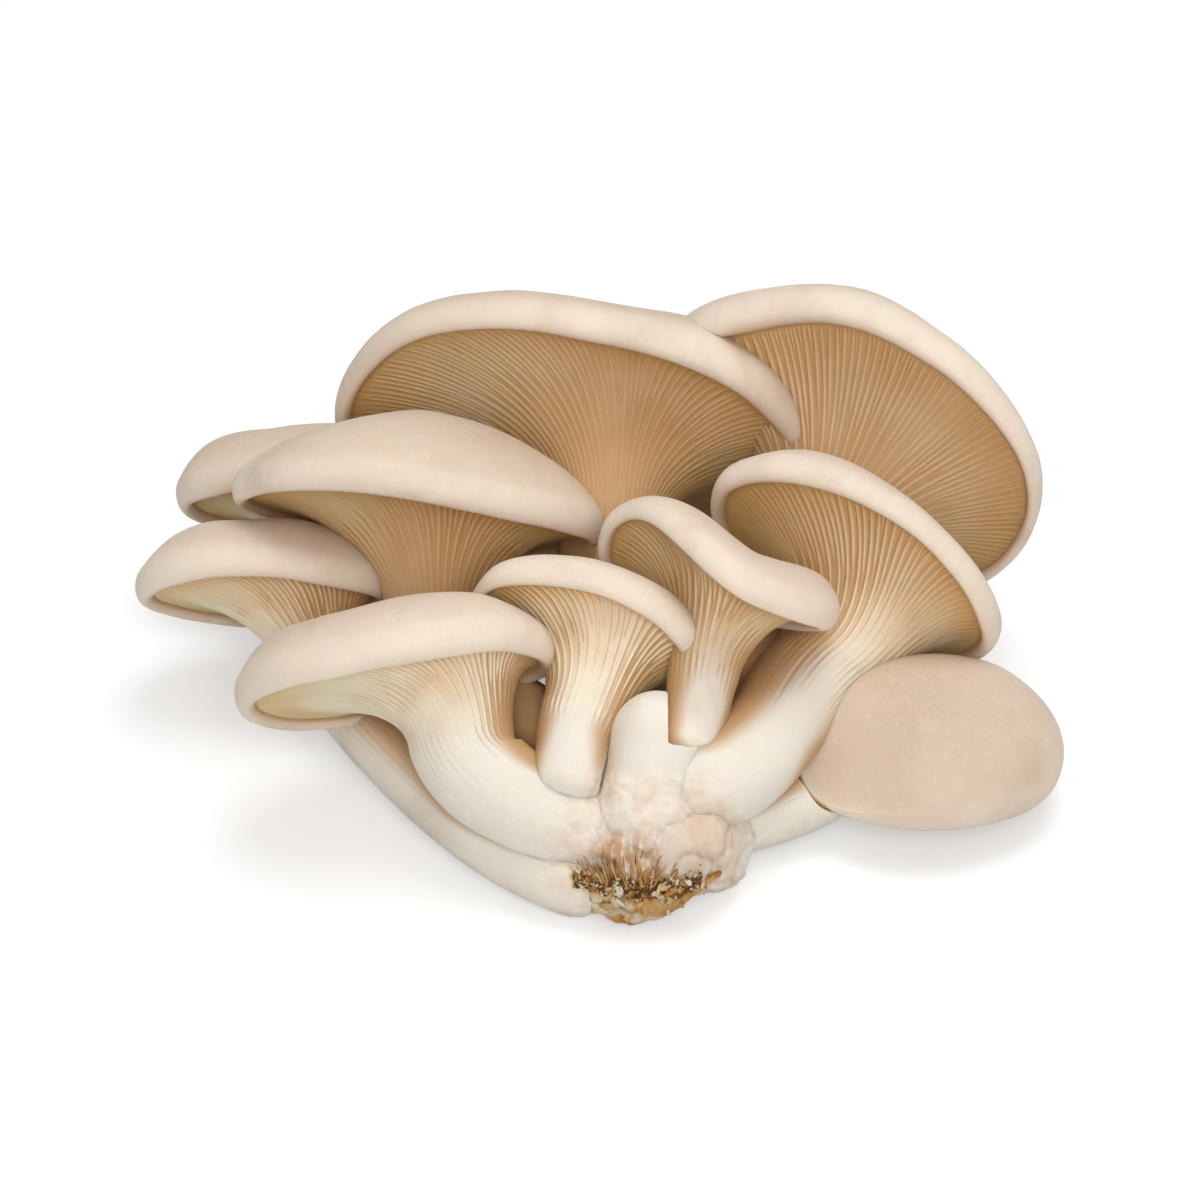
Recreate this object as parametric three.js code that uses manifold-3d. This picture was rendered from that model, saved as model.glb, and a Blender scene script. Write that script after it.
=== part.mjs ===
// A cluster of oyster mushrooms, picked whole: ten fan-shaped mushrooms and one stem cut
// short, all grown out of one white butt, with a crust of the brown stuff that it grew on.
// It lies as it would on a table: on the butt in front and on the lower margins of the two
// back caps. Millimetres, +Z up. The origin is on the flat spot under the butt, +Y points
// to the back caps and +X to the right.
//
// A mushroom is one closed skin of rings, from its foot to the middle of its crown:
//   stem   round rings along a cubic curve from the foot to the neck;
//   gills  a flare from the neck to the margin, with a ridge for each gill;
//   lip    an arc that rolls from the gills' edge over the margin;
//   crown  a smooth dome from the lip to its middle.
import * as THREE from 'three';
import Module from 'manifold-3d';

// ---- driving dimensions ----
// The gap between touching pieces; the furrows' depth, which is full where the flare under a
// cap is at least that wide; the lip's arc, by its half sizes and its angles in degrees.
const GAP = 0.35;
const GILL_DEPTH = 1.5;
const WIDE_FLARE = 8;
const LIP = { width: 2, height: 3.6, start: -150, end: 50 };
const STEM_SIDES = 14;

// Rows of rings: places along the stem, along the gills, round the lip and over the crown.
const STEM_ROWS = [0, 0.1, 0.25, 0.5, 0.75];
const GILL_ROWS = [0, 0.26, 0.55, 0.86, 1];
const LIP_ROWS = [0.38, 0.72, 1];
const CROWN_ROWS = [0.09, 0.24, 0.46, 0.74];

// foot, lean: where the stem starts and the way it sets off; stem: its radius at the foot,
// half way and at the neck; arrive: the way it comes up to the neck; rim: middle of the
// margin; axis, long: the way the cap faces and the way of its long diameter; semi: half
// diameters; off: how far the margin sits off the neck; rise: height of the margin over
// the neck; crown: height of the dome's middle over the margin; lobes, droop: waves of the
// margin outwards and along the axis, as [count, size, degrees], or a single bump when the
// count is negative, narrower the larger it is; roll: where the rolled lip is thicker, in the
// same way; swell: how full the dome is at the lip; dip: how far the dome sinks near the lip,
// as waves too.
const MUSHROOMS = [
  {
    name: 'mushroom_front_left', colour: 0xd9c3ae, gills: 22,
    foot: [-10, 5, 11], lean: [-8, 2, 6], stem: [8.5, 9.5, 10], arrive: [-1, 6, 5],
    rim: [-47, 28, 33], axis: [-0.17, 0.784, 0.597], long: [0.984, 0.104, 0.144],
    semi: [31.5, 22], off: [-10, -1], rise: 14, crown: 10, swell: 0.9,
    lobes: [[3, 0.02, 20], [-4, -0.04, 0]],
    droop: [[3, 0.6, 70], [-2, -1.3, 290]],
    roll: [[-2, 0.2, 290]],
    dip: [[3, 0.5, 100]],
  },
  {
    name: 'mushroom_front_centre', colour: 0xe0cbb6, gills: 20,
    foot: [-15, 9, 23], lean: [1, 3, 3], stem: [6.4, 7, 8], arrive: [2, 5, 2.5],
    rim: [-12.5, 37, 35.5], axis: [0.342, 0.843, 0.416], long: [0.923, -0.219, -0.315],
    semi: [26, 18], off: [-6, 0], rise: 15, crown: 6, swell: 0.9,
    lobes: [[3, 0.02, 200], [-4, -0.1, 185]],
    droop: [[3, 0.5, 10], [-3, 4, 298], [-3, 1.5, 255]],
    roll: [[-1, -0.12, 300], [-4, -0.3, 190]],
    dip: [[2, 0.5, 50]],
  },
  {
    name: 'mushroom_mid_right', colour: 0xe3d2c0, gills: 22,
    foot: [7, 11, 19.3], lean: [15, -1, 1.2], stem: [8.6, 9.4, 10.5], arrive: [9, 8, 2],
    rim: [39.5, 62, 35.5], axis: [0.401, 0.871, 0.283], long: [0.877, -0.276, -0.393],
    semi: [34, 26.5], off: [-5, -6], rise: 21, crown: 8, swell: 0.9,
    lobes: [[-3, -0.18, 110], [-3, -0.1, 185], [3, 0.015, 80]],
    droop: [[3, 0.6, 30], [-2, -2, -30]],
    roll: [[-3, -0.25, 300]],
    dip: [[3, 0.6, 60]],
  },
  {
    name: 'mushroom_mid_centre', colour: 0xe3d2c0, gills: 18,
    foot: [8.6, 17, 25], lean: [1.2, 5, 2], stem: [6, 6.1, 7.2], arrive: [1, 5, 3],
    rim: [13.5, 43, 45], axis: [0.4, 0.785, 0.498], long: [0.87, -0.45, -0.2],
    semi: [25.5, 16.5], off: [-4, -4], rise: 16, crown: 6.5, swell: 0.9,
    lobes: [[3, 0.02, 150], [-4, -0.05, 0]],
    droop: [[2, 2.5, 45], [-5, -3.5, 285], [-4, 2, 215]],
    roll: [[-4, -0.35, 215]],
    dip: [],
  },
  {
    name: 'mushroom_low_right', colour: 0xdfcbb8, gills: 18,
    foot: [10, 13, 8.5], lean: [9, 3, -0.5], stem: [6.5, 6.6, 7.5], arrive: [6.5, 5.3, 1.3],
    rim: [54.3, 31.7, 13.8], axis: [0.201, -0.128, 0.971], long: [0.933, 0.327, -0.151],
    semi: [28.5, 21.5], off: [17, 0], rise: 7, crown: 13, swell: 0.8,
    lobes: [[3, 0.02, 60], [-3, -0.06, 180]],
    droop: [[-3, -6.5, 195]],
    roll: [[-3, -0.85, 195]],
    dip: [[-2, 2.5, 185]],
  },
  {
    name: 'mushroom_upper_left', colour: 0xd3bfae, gills: 24,
    foot: [-7, 16, 15], lean: [-8, 13, 8], stem: [7.5, 7.5, 9.5], arrive: [-2, 10, 8],
    rim: [-45, 74, 39], axis: [0.121, 0.694, 0.71], long: [0.992, -0.071, -0.1],
    semi: [37, 30], off: [-7, 0], rise: 22, crown: 21.5, swell: 0.5,
    lobes: [[3, 0.02, 100], [5, 0.01, 40]],
    droop: [[3, 0.6, 130]],
    roll: [],
    dip: [[3, 0.8, 200]],
  },
  {
    name: 'mushroom_back_centre', colour: 0xdbc4a9, gills: 28,
    foot: [0, 18, 14], lean: [-2, 16, 4], stem: [8.5, 8.5, 10.5], arrive: [1, 20, 8],
    rim: [-13, 110, 38], axis: [0.075, 0.914, 0.398], long: [0.996, -0.05, -0.073],
    semi: [50, 37], off: [-8, 4], rise: 27, crown: 14, swell: 0.7,
    lobes: [[-3, 0.15, 90], [5, 0.012, 20]],
    droop: [[3, 1.5, 100], [-3, -10, 342], [-2, 2.1, 280]],
    roll: [[-3, 0.4, 318]],
    dip: [[3, 1, 20], [5, 0.5, 80]],
  },
  {
    name: 'mushroom_back_right', colour: 0xdbc4a9, gills: 26,
    foot: [8, 20, 11], lean: [4, 25, -1], stem: [7, 6.5, 9], arrive: [6, 10, 14],
    rim: [47, 98, 40.5], axis: [0.441, 0.896, 0.057], long: [0.787, -0.355, -0.505],
    semi: [38, 33], off: [-5, -16], rise: 20, crown: 12, swell: 0.9,
    lobes: [[-8, 0.18, 170], [-8, 0.22, 70], [-6, 0.04, 315]],
    droop: [[-5, -9, 185], [-2, -3, 270]],
    roll: [[-1, 0.3, 225], [-6, 0.5, 195], [-3, -0.4, 345]],
    dip: [[-5, -3, 200], [3, 0.6, 40]],
  },
  {
    name: 'mushroom_low_left', colour: 0xd6c1a9, gills: 20,
    foot: [-11, 0, 6.5], lean: [-20, 3, 0], stem: [6.8, 7.8, 8.5], arrive: [-7, 8, 4],
    rim: [-76, 68, 24.5], axis: [0, 0.774, 0.633], long: [1, 0, 0],
    semi: [26, 20], off: [-12, -2], rise: 13, crown: 14.5, swell: 0.9,
    lobes: [[3, 0.02, 240]],
    droop: [[3, 0.5, 20]],
    roll: [],
    dip: [[3, 0.6, 0]],
  },
  {
    name: 'mushroom_rear_left', colour: 0xd1c0ad, gills: 18,
    foot: [-12, 15, 9], lean: [-12, 18, 1], stem: [6.5, 6, 7], arrive: [-3, 8, 3],
    rim: [-70.5, 107, 23], axis: [-0.102, 0.726, 0.68], long: [0.995, 0.061, 0.085],
    semi: [26, 23], off: [-3, 0], rise: 15, crown: 13, swell: 0.8,
    lobes: [[-4, 0.2, 90], [3, 0.02, 300]],
    droop: [[3, 0.5, 60]],
    roll: [],
    dip: [[2, 0.8, 120]],
  },
];

// The stem cut short, in front of the others: its axis, how far right the knife went and how
// far up the stub it came in.
const STUB = { from: [0.8, 7, 16], to: [2, 16, 28.5], radius: 8.6, cutX: 4.2, cutUp: 13.7 };

// The butt: an ellipsoid with lumps, as [degrees round, degrees up, size, sharpness].
const BUTT = {
  centre: [0, 11, 7],
  radii: [18.5, 15.5, 15],
  lumps: [
    [-90, 10, 1.5, 6], [-150, 0, 2.5, 8], [-35, -5, 2.5, 8], [-52, 32, 4.5, 10],
    [-115, 40, 2, 12], [180, 10, 1.5, 8], [0, 15, 1.5, 8], [60, 10, 1.5, 6],
  ],
};

// The crust: crumbs along the butt's lower front, as [x, y, z, radius].
const CRUMBS = [
  [-12.5, -1.3, 9.5, 3.2], [-9, -3.8, 8, 3.2], [-5.5, -4.8, 9, 3.2], [-2, -5.4, 6.5, 3.4],
  [1.5, -5.2, 9, 3.2], [5, -5.2, 6, 3.4], [8.5, -4.2, 8, 3.2], [11.5, -2.6, 9, 3],
  [-5, -4.4, 4.8, 3.2], [1.5, -4.4, 3.4, 3.2], [7, -3.6, 3.2, 2.8],
];

// ---- solids ----
const wasm = await Module();
wasm.setup();

const radians = THREE.MathUtils.degToRad;
const vec = (p) => new THREE.Vector3(...p);

// Joins rings of points, first to last, into a closed skin; a ring may have any count.
function skin(rings) {
  const points = [];
  const index = [];
  const starts = rings.map((ring) => points.push(...ring) - ring.length);
  for (let r = 1; r < rings.length; r += 1) {
    const [n, m] = [rings[r - 1].length, rings[r].length];
    const low = (i) => starts[r - 1] + (i % n);
    const high = (j) => starts[r] + (j % m);
    let i = 0;
    let j = 0;
    const lowSteps = n > 1 ? n : 0;
    const highSteps = m > 1 ? m : 0;
    while (i < lowSteps || j < highSteps) {
      if (j >= highSteps || (i < lowSteps && (i + 1) / n <= (j + 1) / m + 1e-9)) {
        index.push(low(i), low(i + 1), high(j));
        i += 1;
      } else {
        index.push(low(i), high(j + 1), high(j));
        j += 1;
      }
    }
  }
  const geometry = new THREE.BufferGeometry().setFromPoints(points);
  geometry.setIndex(index);
  return geometry;
}

// Moves every point of an indexed geometry outwards, along the mean of its faces' normals.
function swollen(geometry, by) {
  const out = geometry.clone();
  out.computeVertexNormals();
  const place = out.attributes.position;
  const normal = out.attributes.normal;
  const p = new THREE.Vector3();
  const n = new THREE.Vector3();
  for (let i = 0; i < place.count; i += 1) {
    p.fromBufferAttribute(place, i);
    n.fromBufferAttribute(normal, i);
    p.addScaledVector(n, by);
    place.setXYZ(i, p.x, p.y, p.z);
  }
  return out;
}

function solid(geometry) {
  const vertProperties = new Float32Array(geometry.attributes.position.array);
  const triVerts = new Uint32Array(geometry.index.array);
  return new wasm.Manifold(new wasm.Mesh({ numProp: 3, vertProperties, triVerts }));
}

// The largest of the bodies that a cut leaves.
function largest(body) {
  const parts = body.decompose();
  parts.sort((a, b) => b.volume() - a.volume());
  return parts[0];
}

function geometryOf(body) {
  const { vertProperties, triVerts } = body.getMesh();
  const geometry = new THREE.BufferGeometry();
  geometry.setAttribute('position', new THREE.BufferAttribute(vertProperties, 3));
  geometry.setIndex(new THREE.BufferAttribute(triVerts, 1));
  return geometry;
}

// A box geometry keeps its corners apart for its normals; a solid needs them shared.
function blockGeometry(low, high) {
  const [x0, y0, z0] = low;
  const [x1, y1, z1] = high;
  const ring = (z) => [[x0, y0, z], [x1, y0, z], [x1, y1, z], [x0, y1, z]].map(vec);
  const middle = (z) => [new THREE.Vector3((x0 + x1) / 2, (y0 + y1) / 2, z)];
  return skin([middle(z0), ring(z0), ring(z1), middle(z1)]);
}

// ---- mushrooms ----
// Sum of waves and bumps at an angle.
function waves(terms, angle) {
  let sum = 0;
  for (const [count, size, at] of terms) {
    const turn = angle - radians(at);
    sum += size * (count < 0 ? Math.exp(-count * (Math.cos(turn) - 1)) : Math.cos(count * turn));
  }
  return sum;
}

// The cap's own axes and its neck: x along its long diameter, z the way it faces.
function capPlace(m) {
  const z = vec(m.axis).normalize();
  const x = vec(m.long);
  x.addScaledVector(z, -x.dot(z)).normalize();
  const y = new THREE.Vector3().crossVectors(z, x);
  const neck = vec(m.rim).addScaledVector(z, -m.rise);
  neck.addScaledVector(x, -m.off[0]).addScaledVector(y, -m.off[1]);
  return new THREE.Matrix4().makeBasis(x, y, z).setPosition(neck);
}

// A point of the gills' outer edge, in the cap's own axes.
function gillEdge(m, angle) {
  const inset = LIP.width * (1 - Math.cos(radians(LIP.start)));
  const grow = 1 + waves(m.lobes, angle);
  return new THREE.Vector3(
    (m.semi[0] * grow - inset) * Math.cos(angle) + m.off[0],
    (m.semi[1] * grow - inset) * Math.sin(angle) + m.off[1],
    m.rise + waves(m.droop, angle),
  );
}

// The flare under the cap: from the neck's circle, at s = 0, it leaves along the stem and
// arrives flat at the gills' edge, at s = 1.
function flare(m, angle, s) {
  const neck = new THREE.Vector3(Math.cos(angle), Math.sin(angle), 0).multiplyScalar(m.stem[2]);
  const edge = gillEdge(m, angle);
  const out = 1 - Math.cos((Math.PI * s) / 2);
  const up = Math.sin((Math.PI * s) / 2);
  return new THREE.Vector3(
    neck.x + (edge.x - neck.x) * out,
    neck.y + (edge.y - neck.y) * out,
    edge.z * up,
  );
}

// The flare's outward normal, from its slopes both ways.
function flareNormal(m, angle, s) {
  const step = 1e-3;
  const round = flare(m, angle + step, s).sub(flare(m, angle - step, s));
  const along = flare(m, angle, Math.min(s + step, 1)).sub(flare(m, angle, Math.max(s - step, 0)));
  return round.cross(along).normalize();
}

// How deep the furrow between two gills is at s: shallow on the stem, nothing at the lip, and
// less where the flare is narrow.
function furrow(m, angle, s) {
  const edge = gillEdge(m, angle);
  const wide = Math.hypot(edge.x, edge.y) - m.stem[2];
  const grow = 0.3 + 0.7 * Math.min(1, s / 0.45);
  return GILL_DEPTH * grow * Math.min(1, (1 - s) / 0.12) * Math.max(0, Math.min(1, wide / WIDE_FLARE));
}

function mushroomRings(m, ridges) {
  const place = capPlace(m);
  const neck = new THREE.Vector3().setFromMatrixPosition(place);
  const long = vec(m.long);
  const foot = vec(m.foot);
  const line = new THREE.CubicBezierCurve3(
    foot,
    foot.clone().add(vec(m.lean)),
    neck.clone().sub(vec(m.arrive)),
    neck,
  );
  const angles = (count) => Array.from({ length: count }, (_, k) => (2 * Math.PI * k) / count);

  // A ring square to the stem's line, its radius a parabola through the three given ones.
  const stemRing = (t, count, scale = 1, back = 0) => {
    const [r0, r1, r2] = m.stem;
    const radius = (1 - t) * (1 - 2 * t) * r0 + 4 * t * (1 - t) * r1 + t * (2 * t - 1) * r2;
    const way = line.getTangent(t);
    const u = long.clone().addScaledVector(way, -long.dot(way)).normalize();
    const v = new THREE.Vector3().crossVectors(way, u);
    const centre = line.getPoint(t).addScaledVector(way, -back * radius);
    return angles(count).map((angle, k) => {
      const depth = ridges && count > STEM_SIDES && k % 2 ? furrow(m, angle, 0) * 0.5 : 0;
      return centre.clone()
        .addScaledVector(u, (radius * scale - depth) * Math.cos(angle))
        .addScaledVector(v, (radius * scale - depth) * Math.sin(angle));
    });
  };

  const rings = [[line.getPoint(0).addScaledVector(line.getTangent(0), -0.6 * m.stem[0])]];
  rings.push(stemRing(0, STEM_SIDES, 0.75, 0.4));
  STEM_ROWS.forEach((t) => rings.push(stemRing(t, STEM_SIDES)));
  rings.push(stemRing(0.9, 2 * m.gills));

  GILL_ROWS.forEach((s) => {
    rings.push(angles(2 * m.gills).map((angle, k) => {
      const depth = ridges && k % 2 ? furrow(m, angle, s) : 0;
      const point = flare(m, angle, s);
      if (depth > 0) point.addScaledVector(flareNormal(m, angle, s), -depth);
      return point.applyMatrix4(place);
    }));
  });

  // The lip's arc leaves the gills' edge along the margin's outward normal.
  const start = radians(LIP.start);
  const full = (angle) => 1 + waves(m.roll, angle);
  const lipPoint = (angle, row) => {
    const edge = gillEdge(m, angle);
    const next = gillEdge(m, angle + 0.01);
    const before = gillEdge(m, angle - 0.01);
    const out = new THREE.Vector3(next.y - before.y, before.x - next.x, 0).normalize();
    const turn = start + (radians(LIP.end) - start) * row;
    edge.addScaledVector(out, full(angle) * LIP.width * (Math.cos(turn) - Math.cos(start)));
    edge.z += full(angle) * LIP.height * (Math.sin(turn) - Math.sin(start));
    return edge;
  };
  LIP_ROWS.forEach((row) => {
    rings.push(angles(m.gills).map((angle) => lipPoint(angle, row).applyMatrix4(place)));
  });

  // The crown runs in to its middle and up by cubics, from the lip's slope to level. They set
  // off with the swell's share of their full speed, less where the lip is thin. The dip is
  // deepest a third of the way in.
  const end = radians(LIP.end);
  const slope = (LIP.height * Math.cos(end)) / (LIP.width * Math.sin(end));
  const middle = new THREE.Vector3(m.off[0] * 0.7, m.off[1] * 0.7, m.rise + m.crown);
  CROWN_ROWS.forEach((q) => {
    rings.push(angles(m.gills).map((angle) => {
      const from = lipPoint(angle, 1);
      const reach = Math.hypot(from.x - middle.x, from.y - middle.y);
      const swell = m.swell * full(angle) * (q ** 3 - 2 * q ** 2 + q);
      const point = from.clone().lerp(middle, swell + 2 * q ** 2 - q ** 3);
      point.z = from.z * (2 * q ** 3 - 3 * q ** 2 + 1)
        + slope * reach * swell
        + middle.z * (3 * q ** 2 - 2 * q ** 3)
        - waves(m.dip, angle) * 6.75 * q * (1 - q) ** 2;
      return point.applyMatrix4(place);
    }));
  });
  rings.push([middle.applyMatrix4(place)]);
  return rings;
}

// ---- stub, butt and crust ----
// A round-topped stem between two points.
function stubGeometry() {
  const from = vec(STUB.from);
  const way = vec(STUB.to).sub(from);
  const length = way.length();
  const turn = new THREE.Quaternion().setFromUnitVectors(
    new THREE.Vector3(0, 0, 1),
    way.normalize(),
  );
  const rows = [[0, -0.5], [1.1, -0.4], [1.25, 0], [1.12, 0.3], [1, 0.6], [0.98, 1]];
  const profile = rows.map(([wide, along]) => [wide * STUB.radius, along * length]);
  [30, 60, 90].forEach((up) => {
    const over = radians(up);
    profile.push([0.98 * STUB.radius * Math.cos(over), length + STUB.radius * Math.sin(over)]);
  });
  const rings = profile.map(([wide, along]) => {
    const count = wide < 1e-6 ? 1 : STEM_SIDES;
    return Array.from({ length: count }, (_, k) => {
      const angle = (2 * Math.PI * k) / STEM_SIDES;
      const point = new THREE.Vector3(wide * Math.cos(angle), wide * Math.sin(angle), along);
      return point.applyQuaternion(turn).add(from);
    });
  });
  return skin(rings);
}

// What the knife takes off: all to its right, from where it came in upwards along the stub.
function knifeGeometry() {
  const [, y, z] = STUB.from;
  const lean = Math.atan2(STUB.to[1] - y, STUB.to[2] - z);
  const geometry = blockGeometry([STUB.cutX, -40, STUB.cutUp], [STUB.cutX + 30, 40, 80]);
  return geometry.rotateX(-lean).translate(0, y, z);
}

// The unit vector that points so far round and so far up.
const wayOf = (round, up) => new THREE.Vector3(
  Math.cos(up) * Math.cos(round),
  Math.cos(up) * Math.sin(round),
  Math.sin(up),
);

// The butt's surface: along every direction the ellipsoid's radius and the lumps'.
function buttGeometry() {
  const [sides, rows] = [32, 14];
  const rings = [];
  for (let row = 0; row <= rows; row += 1) {
    const up = Math.PI * (row / rows - 0.5);
    const count = row === 0 || row === rows ? 1 : sides;
    rings.push(Array.from({ length: count }, (_, k) => {
      const round = (2 * Math.PI * k) / sides;
      const way = wayOf(round, up);
      const reach = 1 / way.clone().divide(vec(BUTT.radii)).length();
      let lump = 0.5 * Math.sin(5 * round + 3 * up) * Math.cos(up) * Math.sin(4 * up + round);
      BUTT.lumps.forEach(([at, high, size, sharp]) => {
        lump += size * Math.exp(sharp * (way.dot(wayOf(radians(at), radians(high))) - 1));
      });
      return way.multiplyScalar(reach + lump).add(vec(BUTT.centre));
    }));
  }
  return skin(rings);
}

// One angular crumb: a ball of few sides, pushed in and out by a wave of its place.
function crumbGeometry([x, y, z, radius]) {
  const rings = [];
  for (let row = 0; row <= 4; row += 1) {
    const up = Math.PI * (row / 4 - 0.5);
    const count = row === 0 || row === 4 ? 1 : 7;
    rings.push(Array.from({ length: count }, (_, k) => {
      const round = (2 * Math.PI * (k + 0.5 * (row % 2))) / 7;
      const size = radius * (1 + 0.22 * Math.sin(3 * k + 5 * row + x * 2 + z));
      return new THREE.Vector3(
        x + size * Math.cos(up) * Math.cos(round),
        y + size * Math.cos(up) * Math.sin(round),
        z + size * Math.sin(up),
      );
    }));
  }
  return skin(rings);
}

// ---- assembly ----
const cluster = new THREE.Group();
cluster.name = 'oyster_mushroom_cluster';

function add(name, body, colour, roughness) {
  const material = new THREE.MeshStandardMaterial({ color: colour, roughness, metalness: 0 });
  material.flatShading = true;
  const mesh = new THREE.Mesh(geometryOf(body), material);
  mesh.name = name;
  cluster.add(mesh);
}

// Everything is cut level where it meets the table.
const table = solid(blockGeometry([-300, -300, -100], [340, 420, 0]));

// Each piece gives way, by the gap, to the pieces before it, as crowded stems do. What it
// takes from the later ones is its cover, its own shape without furrows, swollen by the gap.
const grown = [];
function grow(name, colour, roughness, geometry, cover) {
  let body = solid(geometry);
  grown.forEach((other) => {
    body = body.subtract(other);
  });
  body = largest(body.subtract(table));
  add(name, body, colour, roughness);
  grown.push(solid(swollen(cover, GAP)));
}

const butt = buttGeometry();
grow('butt', 0xe9dcc9, 0.85, butt, butt);

const stub = geometryOf(solid(stubGeometry()).subtract(solid(knifeGeometry())));
grow('cut_stub', 0xf0e8da, 0.7, stub, stub);

MUSHROOMS.forEach((m) => {
  const ridged = skin(mushroomRings(m, true));
  const smooth = skin(mushroomRings(m, false));
  grow(m.name, m.colour, 0.65, ridged, smooth);
});

// The crumbs are fused into one crust and hug the butt.
let crust = solid(crumbGeometry(CRUMBS[0]));
CRUMBS.slice(1).forEach((crumb) => {
  crust = crust.add(solid(crumbGeometry(crumb)));
});
grown.forEach((other) => {
  crust = crust.subtract(other);
});
add('substrate_crust', largest(crust.subtract(table)), 0x7a5a36, 0.95);

export default cluster;
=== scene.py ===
"""A cluster of oyster mushrooms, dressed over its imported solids.

Ten mushrooms with fine gills, a stem cut short, a felted butt and a crust of straw and sawdust,
lying on a pale floor. Shapes are worked out in millimetres, as in the part's source, and put into
the meshes in metres.
"""
import math

import bpy
import numpy as np
from bpy.props import FloatProperty, FloatVectorProperty, PointerProperty
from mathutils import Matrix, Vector


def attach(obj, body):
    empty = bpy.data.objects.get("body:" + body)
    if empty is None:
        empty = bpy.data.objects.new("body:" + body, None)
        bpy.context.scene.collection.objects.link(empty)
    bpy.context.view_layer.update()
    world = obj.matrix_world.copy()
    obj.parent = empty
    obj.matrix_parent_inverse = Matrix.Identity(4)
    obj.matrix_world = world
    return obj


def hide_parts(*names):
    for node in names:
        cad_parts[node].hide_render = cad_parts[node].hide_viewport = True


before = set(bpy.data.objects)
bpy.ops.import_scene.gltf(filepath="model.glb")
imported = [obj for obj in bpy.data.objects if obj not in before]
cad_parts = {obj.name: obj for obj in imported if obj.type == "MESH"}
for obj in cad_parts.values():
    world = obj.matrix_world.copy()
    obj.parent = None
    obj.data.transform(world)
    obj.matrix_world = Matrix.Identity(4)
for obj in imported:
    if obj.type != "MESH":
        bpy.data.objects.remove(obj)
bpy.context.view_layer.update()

bl_info = {
    "name": "Oyster Mushroom Cluster",
    "version": (1, 0, 0),
    "blender": (4, 5, 0),
    "location": "3D View > Sidebar > Mushrooms",
    "description": "Grows a cluster of oyster mushrooms with its butt, crust and studio stage",
    "category": "Add Mesh",
}

MM = 0.001
TURN, QUARTER = 2 * math.pi, math.pi / 2
BODY = "root"

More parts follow.
